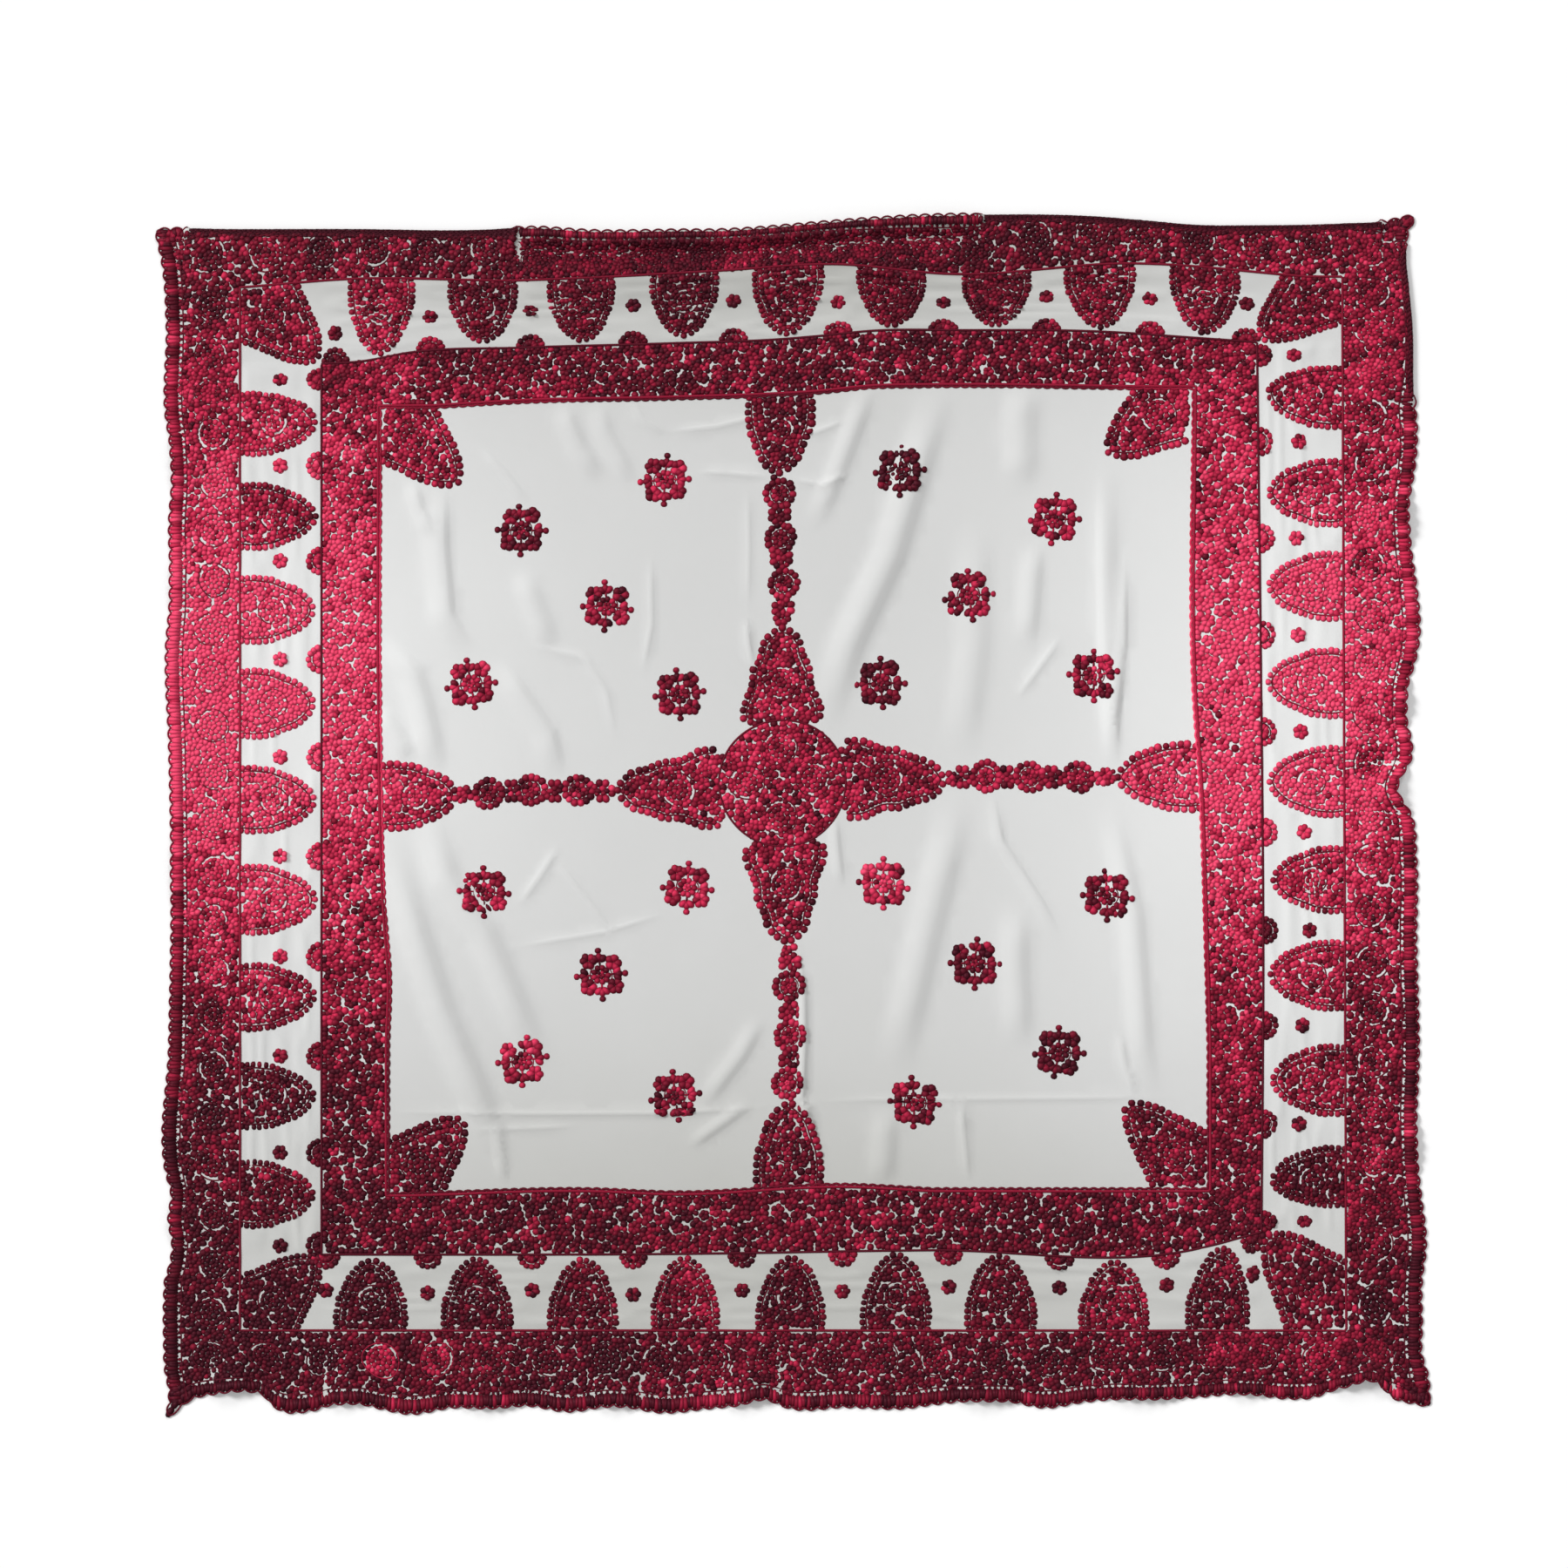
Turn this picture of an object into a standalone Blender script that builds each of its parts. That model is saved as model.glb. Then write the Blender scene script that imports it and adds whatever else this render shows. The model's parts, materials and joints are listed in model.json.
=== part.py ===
"""A large cotton throw, embroidered all over its borders, laid out flat with its face up.

The throw is one woven cloth, so it is one solid: a sheet with a scalloped edge, low folds, a hem
that flutes, and edges that are turned under along two stretches of the top and one of the right
side. Metres, +Z up, origin under the middle of its box, on the surface that it lies on.
"""

import bmesh
import bpy
import numpy as np
from mathutils import Vector
from mathutils.geometry import delaunay_2d_cdt

MM = 0.001

# Cloth and edge
CLOTH_THICKNESS = 2.0 * MM
BEND_RADIUS = 2.0 * MM
SCALLOP_PITCH = 20.4 * MM
SCALLOP_DEPTH = 5.0 * MM
SCALLOP_SHAPE = (0.0, 0.86, 0.86)

# Beside a turned edge the cloth sinks back to the surface over this run, and the turned layer
# stays this far clear of the surface
SINK_RUN = 70 * MM
TURN_CLEARANCE = 0.5 * MM

# Where less cloth than this is turned under, the edge counts as flat, and a bend is never opened
# out further than this share of its roundness
FLAT_LENGTH = 0.01 * MM
LEAST_SHARE = 0.001

# A fold fades over this share of its length, at both ends or only at its inner end
END_FADE = 0.3
INNER_FADE = 0.9

# How close the points of the mesh lie
GRID_STEP = 128 * MM
GRID_NEAREST = 80 * MM
GRID_ACROSS = (-950 * MM, 985 * MM)
GRID_ALONG = (-940 * MM, 860 * MM)
TURN_STEP = 46 * MM
TURN_END_STEPS = 5
TURN_ROWS = 5
SINK_ROWS = (0.0, 0.4, 1.0)
ROW_CLEARANCE = 2.5 * MM
LEAST_TURN = 1.0 * MM
LIP_STEP = 36 * MM
LIP_ROWS_BETWEEN = (2, 22, 45)
FOLD_STEP = 46 * MM
FOLD_ROWS = (-1.0, -0.52, 0.0, 0.52, 1.0)
NEAREST = 11 * MM

# The edge line inside the scallops, in millimetres from the middle of the medallion.
# Columns: place along the side, distance out.
TOP_EDGE = (
    (-1006, 888), (-985, 889), (-900, 888), (-700, 888), (-480, 887), (-420, 890), (-300, 884),
    (-180, 885), (-90, 886), (-28, 890), (40, 896), (125, 903), (225, 909), (320, 911), (490, 909),
    (580, 902), (660, 895), (760, 894), (900, 897), (966, 901), (990, 906), (1010, 911),
)
RIGHT_EDGE = (
    (-996, 1034), (-948, 1030), (-918, 1021), (-870, 1021), (-795, 1021), (-749, 1027), (-725, 1027),
    (-666, 1020), (-602, 1013), (-420, 1016), (-252, 1012), (-119, 1012), (-50, 1004), (-8, 980),
    (42, 1004), (116, 995), (154, 997), (202, 1011), (239, 1017), (309, 1013), (389, 1002),
    (438, 998), (507, 1009), (561, 1013), (630, 1008), (738, 1006), (802, 1000), (850, 996),
    (882, 998), (911, 1010),
)
BOTTOM_EDGE = (
    (-988, -1014), (-952, -985), (-916, -976), (-861, -971), (-837, -978), (-822, -994), (-760, -1003),
    (-725, -993), (-687, -991), (-647, -1000), (-602, -1008), (-535, -998), (-468, -998), (-409, -995),
    (-353, -1004), (-267, -995), (-195, -1006), (-129, -1000), (-76, -994), (-32, -984), (5, -998),
    (100, -997), (193, -999), (238, -993), (318, -986), (356, -987), (420, -998), (479, -989),
    (532, -984), (613, -983), (658, -981), (752, -976), (802, -983), (846, -982), (899, -964),
    (948, -955), (980, -983), (1009, -991), (1034, -996),
)
LEFT_EDGE = (
    (-1014, -988), (-977, -984), (-945, -990), (-896, -992), (-830, -992), (-795, -990), (-776, -984),
    (-736, -979), (-700, -984), (-655, -981), (-629, -988), (-420, -984), (-180, -980), (60, -984),
    (217, -989), (308, -982), (420, -984), (512, -979), (545, -982), (588, -989), (740, -988),
    (830, -994), (888, -1006),
)

# The stretches that are turned under, in millimetres.
# Columns: start, place where it reaches full length, place where full length ends, end, length.
TOP_TURNS = ((-968, -905, -482, -424, 45), (308, 366, 890, 968, 45))
RIGHT_TURNS = ((598, 680, 822, 880, 16),)

# The stretch of the top edge that is not turned under stands up as a lip with a trough beside it.
# Columns: distance in from the edge, height.
LIP_STRETCH = (-452, -385, 276, 338)
LIP_SECTION = ((-8, 9.0), (12, 13.0), (33, 2.2), (56, 9.5), (84, 6.0), (118, 1.4), (150, 0.0))

# Low folds, each a ridge along a path, in millimetres. The side that the path leaves on its left
# may fall off more steeply than the other. Columns: half width on the right hand of the path, half
# width on its left hand, height, 1 where it runs off the edge, then the places of the path.
FOLDS = {
    "spike, upper left": (22, 14, 5, 0, (-600, 486), (-584, 440), (-566, 396)),
    "elbow, upper left": (40, 15, 6, 0, (-550, 486), (-549, 383), (-539, 271), (-500, 208)),
    "towards medallion": (34, 18, 6, 0, (-462, 200), (-378, 82), (-358, 8)),
    "beside elbow": (34, 24, 7, 0, (-648, 236), (-596, 178), (-580, 126), (-553, 8)),
    "left border, short": (24, 22, 5, 0, (-656, 120), (-625, 80), (-598, 38)),
    "top spike, left": (28, 18, 5, 0, (-360, 612), (-328, 540), (-292, 488)),
    "top spike, right": (24, 18, 4, 0, (-304, 616), (-286, 562), (-240, 480)),
    "soft, upper left": (28, 24, 5, 0, (-424, 346), (-400, 285), (-370, 214)),
    "slant, upper right": (40, 30, 9, 0, (262, 660), (220, 526), (173, 367), (108, 228), (58, 70)),
    "slant, beside it": (24, 20, 5, 0, (142, 650), (88, 506), (44, 404)),
    "upright, upper right": (40, 32, 6, 0, (386, 650), (382, 560), (386, 470)),
    "upright, below it": (28, 20, 5, 0, (404, 392), (398, 300), (390, 214)),
    "upright, right middle": (40, 32, 5, 0, (308, 430), (308, 233), (284, 30)),
    "storage, upper right": (18, 26, 5, 0, (514, 530), (515, 345), (524, 10)),
    "below right chain": (40, 32, 7, 0, (278, 0), (266, -95), (232, -228), (190, -414), (178, -480)),
    "upright, lower right": (34, 26, 6, 0, (374, -190), (374, -300), (382, -430)),
    "storage, lower right": (30, 22, 6, 0, (520, -20), (562, -210), (577, -420), (594, -520)),
    "bottom right chain": (30, 24, 5, 0, (166, -520), (162, -590), (158, -650)),
    "long, lower left": (38, 30, 10, 0, (-648, -70), (-594, -228), (-548, -368), (-492, -499), (-446, -630)),
    "second, lower left": (36, 30, 9, 0, (-584, -20), (-542, -154), (-482, -240), (-412, -402),
                           (-376, -470)),
    "curve, lower chain": (22, 16, 4, 0, (-34, -370), (-68, -434), (-134, -520)),
    "bottom hem 1": (46, 46, 13, 1, (-884, -1010), (-880, -945), (-872, -860)),
    "bottom hem 2": (40, 40, 8, 1, (-702, -1010), (-700, -940), (-690, -850)),
    "bottom hem 3": (62, 62, 7, 1, (-470, -1010), (-476, -930), (-480, -820)),
    "bottom hem 4": (40, 40, 8, 1, (-268, -1010), (-266, -940), (-262, -850)),
    "bottom hem 5": (48, 48, 11, 1, (-50, -1010), (-52, -930), (-60, -810)),
    "bottom hem 6": (58, 58, 11, 1, (330, -1010), (326, -930), (318, -800)),
    "bottom hem 7": (76, 76, 9, 1, (580, -1010), (584, -930), (592, -800)),
    "bottom hem 8": (40, 40, 8, 1, (744, -1010), (748, -930), (760, -820)),
    "bottom hem 9": (58, 58, 16, 1, (930, -1000), (926, -910), (908, -800)),
    "right hem 1": (60, 60, 8, 1, (1040, -580), (960, -576), (850, -566)),
    "right hem 2": (46, 46, 14, 1, (1040, -10), (950, -6), (846, 4)),
    "right hem 3": (44, 44, 10, 1, (1040, 134), (950, 130), (850, 122)),
    "right hem 4": (56, 56, 11, 1, (1040, 430), (950, 424), (850, 410)),
    "left hem 1": (44, 44, 8, 1, (-1010, -700), (-930, -704), (-840, -712)),
    "left hem 2": (64, 64, 6, 1, (-1010, -140), (-930, -150), (-830, -160)),
    "left hem 3": (44, 44, 8, 1, (-1010, 322), (-930, 318), (-840, 306)),
    "left hem 4": (50, 50, 10, 1, (-1010, 520), (-930, 512), (-830, 500)),
}

COTTON_COLOUR = (0.66, 0.655, 0.64, 1.0)


def curve_through(rows, at):
    """The smooth curve through a table of (place, value) rows, read at the places given."""
    place, value = (np.array(rows, float) * MM).T
    slope = np.gradient(value, place)
    at = np.clip(at, place[0], place[-1])
    i = np.clip(np.searchsorted(place, at) - 1, 0, len(place) - 2)
    run = place[i + 1] - place[i]
    t = (at - place[i]) / run
    rise = value[i + 1] - value[i]
    bend = (slope[i] * run - rise) * (1 - t) + (rise - slope[i + 1] * run) * t
    return value[i] + t * rise + t * (1 - t) * bend


def smooth_step(t):
    """Goes from 0 to 1 with no corner at either end."""
    t = np.clip(t, 0, 1)
    return t * t * (3 - 2 * t)


def window(at, start, full_from, full_to, end):
    """1 between the two inner places, 0 outside the outer ones."""
    rising = smooth_step((at - start * MM) / ((full_from - start) * MM))
    return rising * smooth_step((end * MM - at) / ((end - full_to) * MM))


def turned_length(turns, at):
    """How much cloth is turned under at each place along a side."""
    return sum(turn[4] * MM * window(at, *turn[:4]) for turn in turns)


def turned_edge(turns, at, beyond):
    """How a point that lies a distance beyond the edge line is rolled under it.

    It gives how far out the point ends up, how far it drops, and how high the edge line stands.
    """
    length = turned_length(turns, at)
    share = np.maximum(smooth_step(length / (np.pi * BEND_RADIUS)), LEAST_SHARE)
    radius = BEND_RADIUS / share
    past = np.maximum(beyond, 0)
    angle = np.minimum(past / radius, np.pi)
    out = np.where(beyond > 0, radius * np.sin(angle) - np.maximum(past - np.pi * radius, 0), beyond)
    last_angle = np.minimum((length + SCALLOP_DEPTH) / radius, np.pi)
    full_drop = radius * (1 - np.cos(last_angle))
    pressed = np.minimum(1, 2 * BEND_RADIUS / full_drop)
    drop = radius * (1 - np.cos(angle)) * pressed
    height = full_drop * pressed + TURN_CLEARANCE * share
    flat = length < FLAT_LENGTH
    return np.where(flat, beyond, out), np.where(flat, 0, drop), np.where(flat, 0, height), length


def ridge_height(x, y, fold):
    """The height of one fold: a rounded ridge along its path that fades at its ends."""
    right_hand, left_hand, height, runs_off, *places = fold
    places = np.array(places) * MM
    runs = np.diff(places, axis=0)
    lengths = np.hypot(*runs.T)
    before = np.cumsum(lengths) - lengths
    nearest = np.full(np.shape(x), np.inf)
    along = np.zeros(np.shape(x))
    for place, run, length, passed in zip(places, runs, lengths, before):
        off_x, off_y = x - place[0], y - place[1]
        t = np.clip((off_x * run[0] + off_y * run[1]) / length ** 2, 0, 1)
        half_width = np.where(run[0] * off_y > run[1] * off_x, left_hand, right_hand) * MM
        away = np.hypot(off_x - t * run[0], off_y - t * run[1]) / half_width
        along = np.where(away < nearest, (passed + t * length) / lengths.sum(), along)
        nearest = np.minimum(nearest, away)
    across = np.clip(1 - nearest ** 2, 0, 1) ** 2
    if runs_off:
        fade = smooth_step((1 - along) / INNER_FADE)
    else:
        fade = smooth_step((1 - along) / END_FADE) * smooth_step(along / END_FADE)
    return height * MM * across * fade


def lay(x, y):
    """Where a point of the flat cloth lies: the folds raise it and a turned edge rolls it under."""
    top_edge = curve_through(TOP_EDGE, x)
    out, drop, stand, length = turned_edge(TOP_TURNS, x, y - top_edge)
    inside = np.maximum(-out, 0)
    layer = stand * smooth_step(1 - (inside - length) / SINK_RUN) - drop
    lip = curve_through(LIP_SECTION, inside) * window(x, *LIP_STRETCH)
    right_edge = curve_through(RIGHT_EDGE, y)
    y = top_edge + out
    out, drop, stand, length = turned_edge(RIGHT_TURNS, y, x - right_edge)
    layer = layer + stand * smooth_step(1 - (np.maximum(-out, 0) - length) / SINK_RUN) - drop
    x = right_edge + out
    ridges = sum(ridge_height(x, y, fold) for fold in FOLDS.values())
    return np.stack([x, y, CLOTH_THICKNESS / 2 + layer + lip + ridges], axis=-1)


def scalloped_side(table, turns, first, last, to_point):
    """The scallops of one side, from its first corner up to its last one."""
    count = round(abs(last - first) * MM / SCALLOP_PITCH)
    steps = count * len(SCALLOP_SHAPE)
    at = np.linspace(first, last, steps + 1)[:-1] * MM
    rise = SCALLOP_DEPTH * np.tile(SCALLOP_SHAPE, count)
    base = curve_through(table, at)
    out = base + np.sign(base) * (rise + turned_length(turns, at))
    return [to_point(a, o) for a, o in zip(at, out)]


def outline():
    """The flat cloth's scalloped outline, with the stretches that are turned under laid open."""
    corners = {side: (table[0][0], table[-1][0]) for side, table in (
        ("top", TOP_EDGE), ("right", RIGHT_EDGE), ("bottom", BOTTOM_EDGE), ("left", LEFT_EDGE))}
    bottom = scalloped_side(BOTTOM_EDGE, (), *corners["bottom"], lambda a, o: (a, o))
    right = scalloped_side(RIGHT_EDGE, RIGHT_TURNS, *corners["right"], lambda a, o: (o, a))
    top = scalloped_side(TOP_EDGE, TOP_TURNS, *corners["top"][::-1], lambda a, o: (a, o))
    left = scalloped_side(LEFT_EDGE, (), *corners["left"][::-1], lambda a, o: (o, a))
    return bottom + right + top + left


def turn_rows():
    """Rows of points along each turned edge, so that its bend is round."""
    rows = []
    sides = ((TOP_EDGE, TOP_TURNS, False), (RIGHT_EDGE, RIGHT_TURNS, True))
    for table, turns, upright in sides:
        for turn in turns:
            ends = [np.linspace(turn[k], turn[k + 1], TURN_END_STEPS + 1) for k in (0, 2)]
            between = np.linspace(turn[1], turn[2], round((turn[2] - turn[1]) * MM / TURN_STEP) + 1)
            at = np.concatenate([ends[0], between[1:-1], ends[1]]) * MM
            length = turned_length(turns, at)
            radius = BEND_RADIUS / np.maximum(smooth_step(length / (np.pi * BEND_RADIUS)), LEAST_SHARE)
            base = curve_through(table, at)
            beyond = [k / TURN_ROWS * np.pi * radius for k in range(TURN_ROWS + 1)]
            inside = [-length - share * SINK_RUN for share in SINK_ROWS]
            for offset in beyond + inside:
                kept = (offset < length - ROW_CLEARANCE) & (length > LEAST_TURN)
                row = [(a, b) for a, b in zip(at[kept], (base + offset)[kept])]
                rows.append([(b, a) for a, b in row] if upright else row)
    return rows


def lip_rows():
    """Rows of points along the lip of the top edge, one at each step of its section."""
    at = np.arange(LIP_STRETCH[0] * MM, LIP_STRETCH[3] * MM, LIP_STEP)
    edge = curve_through(TOP_EDGE, at)
    inside = sorted([row[0] for row in LIP_SECTION[1:]] + list(LIP_ROWS_BETWEEN))
    return [list(zip(at, edge - distance * MM)) for distance in inside]


def fold_points():
    """Points on each fold's crest, flanks and feet."""
    points = []
    for right_hand, left_hand, _, _, *places in FOLDS.values():
        places = np.array(places) * MM
        for first, last in zip(places, places[1:]):
            run = last - first
            length = np.hypot(*run)
            left = np.array((-run[1], run[0])) / length
            for t in np.linspace(0, 1, max(2, round(length / FOLD_STEP) + 1))[:-1]:
                for row in FOLD_ROWS:
                    half_width = (left_hand if row > 0 else right_hand) * MM
                    points.append(tuple(first + t * run + row * half_width * left))
        points.append(tuple(places[-1]))
    return points


def grid_points():
    """A loose grid over the whole cloth."""
    across = np.arange(*GRID_ACROSS, GRID_STEP)
    along = np.arange(*GRID_ALONG, GRID_STEP)
    return [(x, y) for x in across for y in along]


def inside_edge(x, y, margin):
    """Whether a point lies inside all four edge lines by the margin."""
    return (curve_through(LEFT_EDGE, y) + margin < x < curve_through(RIGHT_EDGE, y) - margin
            and curve_through(BOTTOM_EDGE, x) + margin < y < curve_through(TOP_EDGE, x) - margin)


def add_apart(points, taken, nearest):
    """The points that lie inside the cloth and apart from those already taken."""
    kept = list(taken)
    grid = {}
    for p in kept:
        grid.setdefault((int(p[0] // nearest), int(p[1] // nearest)), []).append(p)
    added = []
    for x, y in points:
        cell = (int(x // nearest), int(y // nearest))
        around = [q for i in (-1, 0, 1) for j in (-1, 0, 1)
                  for q in grid.get((cell[0] + i, cell[1] + j), ())]
        clear = all((q[0] - x) ** 2 + (q[1] - y) ** 2 > nearest ** 2 for q in around)
        if clear and inside_edge(x, y, nearest / 2):
            grid.setdefault(cell, []).append((x, y))
            added.append((x, y))
    return added


def flat_cut():
    """The cloth as it was cut and hemmed: points and triangles in the flat."""
    rim = outline()
    points = list(rim)
    edges = [(i, (i + 1) % len(rim)) for i in range(len(rim))]
    for row in turn_rows() + lip_rows():
        edges += [(len(points) + i, len(points) + i + 1) for i in range(len(row) - 1)]
        points += row
    rows_end = len(points)
    points += add_apart(fold_points(), points[:rows_end], NEAREST)
    points += add_apart(grid_points(), points, GRID_NEAREST)
    flat = [Vector(p) for p in points]
    loop = [list(range(len(rim)))]
    verts, _, faces, *_ = delaunay_2d_cdt(flat, edges, loop, 1, 1e-6)
    return np.array([tuple(v) for v in verts]), faces


def make_cloth():
    """The sheet: the flat cut laid in its folds, then given its thickness."""
    flat, faces = flat_cut()
    laid = lay(flat[:, 0], flat[:, 1])
    middle = (laid.min(axis=0) + laid.max(axis=0)) / 2
    laid[:, :2] -= middle[:2]
    shape = bmesh.new()
    verts = [shape.verts.new(p) for p in laid]
    for face in faces:
        shape.faces.new([verts[i] for i in face])
    mesh = bpy.data.meshes.new("embroidered_throw")
    shape.to_mesh(mesh)
    shape.free()
    mesh.materials.append(cotton())
    cloth = bpy.data.objects.new("embroidered_throw", mesh)
    thicken = cloth.modifiers.new("thickness", "SOLIDIFY")
    thicken.thickness = CLOTH_THICKNESS
    thicken.offset = 0
    return cloth


def cotton():
    """Undyed cotton, matt."""
    material = bpy.data.materials.new("cotton")
    material.use_nodes = True
    shader = material.node_tree.nodes["Principled BSDF"]
    shader.inputs["Base Color"].default_value = COTTON_COLOUR
    shader.inputs["Roughness"].default_value = 0.9
    shader.inputs["Metallic"].default_value = 0.0
    return material


def main():
    for old in list(bpy.data.objects):
        bpy.data.objects.remove(old, do_unlink=True)
    throw = bpy.data.collections.new("embroidered_throw")
    bpy.context.scene.collection.children.link(throw)
    throw.objects.link(make_cloth())


main()
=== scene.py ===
# %% [markdown]
# # A large embroidered throw
#
# The real object is one white cotton cloth, about two metres each way, that someone has covered
# by hand in red silk: a wide border of rings at the hem, a white margin with leaves that point
# inwards, a second border, and a white field with small stars and one big medallion. It lies
# flat with its face up, a little uneven, with its top edge partly turned under.
#
# The throw is made here as it is made in life. First comes the cloth in its folds. Then each
# motif is planned on a flat drawing, as on the tracing paper of a maker, the drawing is fitted to
# the cloth, and real little stitches are laid on it. The red pattern is not painted on: it is all thread.
# Some light and shade is painted into the colours of the cloth and the thread.

import json
import math

import bpy
import numpy as np
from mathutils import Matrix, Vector
from mathutils.geometry import delaunay_2d_cdt
from mathutils.kdtree import KDTree

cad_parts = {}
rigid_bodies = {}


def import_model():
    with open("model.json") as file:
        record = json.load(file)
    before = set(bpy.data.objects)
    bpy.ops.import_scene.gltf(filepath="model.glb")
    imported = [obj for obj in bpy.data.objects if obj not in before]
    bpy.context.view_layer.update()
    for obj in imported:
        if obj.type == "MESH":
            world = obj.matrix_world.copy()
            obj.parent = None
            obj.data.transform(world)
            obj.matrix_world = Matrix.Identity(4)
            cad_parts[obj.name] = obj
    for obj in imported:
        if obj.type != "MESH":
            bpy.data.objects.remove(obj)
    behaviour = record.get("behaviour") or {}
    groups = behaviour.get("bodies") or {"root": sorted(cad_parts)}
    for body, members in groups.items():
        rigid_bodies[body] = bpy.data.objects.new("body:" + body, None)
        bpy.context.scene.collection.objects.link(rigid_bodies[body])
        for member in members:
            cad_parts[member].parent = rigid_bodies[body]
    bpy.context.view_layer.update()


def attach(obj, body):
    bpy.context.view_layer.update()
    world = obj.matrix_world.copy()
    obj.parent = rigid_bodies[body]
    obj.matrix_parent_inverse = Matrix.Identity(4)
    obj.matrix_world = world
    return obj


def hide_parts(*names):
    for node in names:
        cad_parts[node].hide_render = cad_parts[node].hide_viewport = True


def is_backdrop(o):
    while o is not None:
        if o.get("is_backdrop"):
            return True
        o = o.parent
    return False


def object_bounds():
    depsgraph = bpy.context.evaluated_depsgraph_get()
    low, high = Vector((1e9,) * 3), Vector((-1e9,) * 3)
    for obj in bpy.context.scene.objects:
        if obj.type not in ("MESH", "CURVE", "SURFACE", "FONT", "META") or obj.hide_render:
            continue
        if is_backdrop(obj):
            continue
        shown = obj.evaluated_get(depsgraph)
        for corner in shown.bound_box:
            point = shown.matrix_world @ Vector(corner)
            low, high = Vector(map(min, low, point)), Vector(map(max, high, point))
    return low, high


for thing in list(bpy.data.objects):
    bpy.data.objects.remove(thing, do_unlink=True)
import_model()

# %% [markdown]
# ## How the cloth lies
#
# A cloth that was laid down by hand has no straight edge. The four edge lines are short tables of
# places along the side and distances out, in millimetres from the middle of the medallion. The
# plain part was built from the same tables, so that the cloth and the part agree. The measures of
# the photograph are its pixels, and one pixel is 1.4 millimetres here.

# %% The edges, the turned hems and the folds
MM = 0.001
PIXEL = 1.4
PICTURE_MIDDLE = 900
CLOTH_THICKNESS = 1.0
BACK_STITCH = 0.65
SCALLOP_PITCH = 20.4
SCALLOP_DEPTH = 5.0
BEND_RADIUS = 2.0
TURN_CLEARANCE = 0.5
# Inwards of a turned edge the cloth sinks to the floor over this run.
SINK_RUN = 70
LEAST_SHARE = 0.001
FLAT_LENGTH = 0.01
# The share of its length over which a fold fades: at each end, and inwards where it runs off the edge.
END_FADE = 0.3
INNER_FADE = 0.9
# The middle of the throw's box, from the middle of the medallion.
MIDDLE = (14.5, -49.2)

# Columns: place along the side, distance out.
TOP_EDGE = (
    (-1006, 888), (-985, 889), (-900, 888), (-700, 888), (-480, 887), (-420, 890), (-300, 884),
    (-180, 885), (-90, 886), (-28, 890), (40, 896), (125, 903), (225, 909), (320, 911), (490, 909),
    (580, 902), (660, 895), (760, 894), (900, 897), (966, 901), (990, 906), (1010, 911),
)
RIGHT_EDGE = (
    (-996, 1034), (-948, 1030), (-918, 1021), (-870, 1021), (-795, 1021), (-749, 1027), (-725, 1027),
    (-666, 1020), (-602, 1013), (-420, 1016), (-252, 1012), (-119, 1012), (-50, 1004), (-8, 980),
    (42, 1004), (116, 995), (154, 997), (202, 1011), (239, 1017), (309, 1013), (389, 1002),
    (438, 998), (507, 1009), (561, 1013), (630, 1008), (738, 1006), (802, 1000), (850, 996),
    (882, 998), (911, 1010),
)
BOTTOM_EDGE = (
    (-988, -1014), (-952, -985), (-916, -976), (-861, -971), (-837, -978), (-822, -994), (-760, -1003),
    (-725, -993), (-687, -991), (-647, -1000), (-602, -1008), (-535, -998), (-468, -998), (-409, -995),
    (-353, -1004), (-267, -995), (-195, -1006), (-129, -1000), (-76, -994), (-32, -984), (5, -998),
    (100, -997), (193, -999), (238, -993), (318, -986), (356, -987), (420, -998), (479, -989),
    (532, -984), (613, -983), (658, -981), (752, -976), (802, -983), (846, -982), (899, -964),
    (948, -955), (980, -983), (1009, -991), (1034, -996),
)
LEFT_EDGE = (
    (-1014, -988), (-977, -984), (-945, -990), (-896, -992), (-830, -992), (-795, -990), (-776, -984),
    (-736, -979), (-700, -984), (-655, -981), (-629, -988), (-420, -984), (-180, -980), (60, -984),
    (217, -989), (308, -982), (420, -984), (512, -979), (545, -982), (588, -989), (740, -988),
    (830, -994), (888, -1006),
)

# Columns: start, place where it reaches full length, place where full length ends, end, length.
TOP_TURNS = ((-968, -905, -482, -424, 45), (308, 366, 890, 968, 45))
RIGHT_TURNS = ((598, 680, 822, 880, 16),)
# Columns: edge line, its turned stretches, whether the side is upright.
TURNED_SIDES = ((TOP_EDGE, TOP_TURNS, False), (RIGHT_EDGE, RIGHT_TURNS, True))

# The low lip beside the top edge. Columns: start, full from, full to, end.
LIP_STRETCH = (-452, -385, 276, 338)
# Columns: distance in from the edge, height.
LIP_SECTION = ((-8, 9.0), (12, 13.0), (33, 2.2), (56, 9.5), (84, 6.0), (118, 1.4), (150, 0.0))

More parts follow.
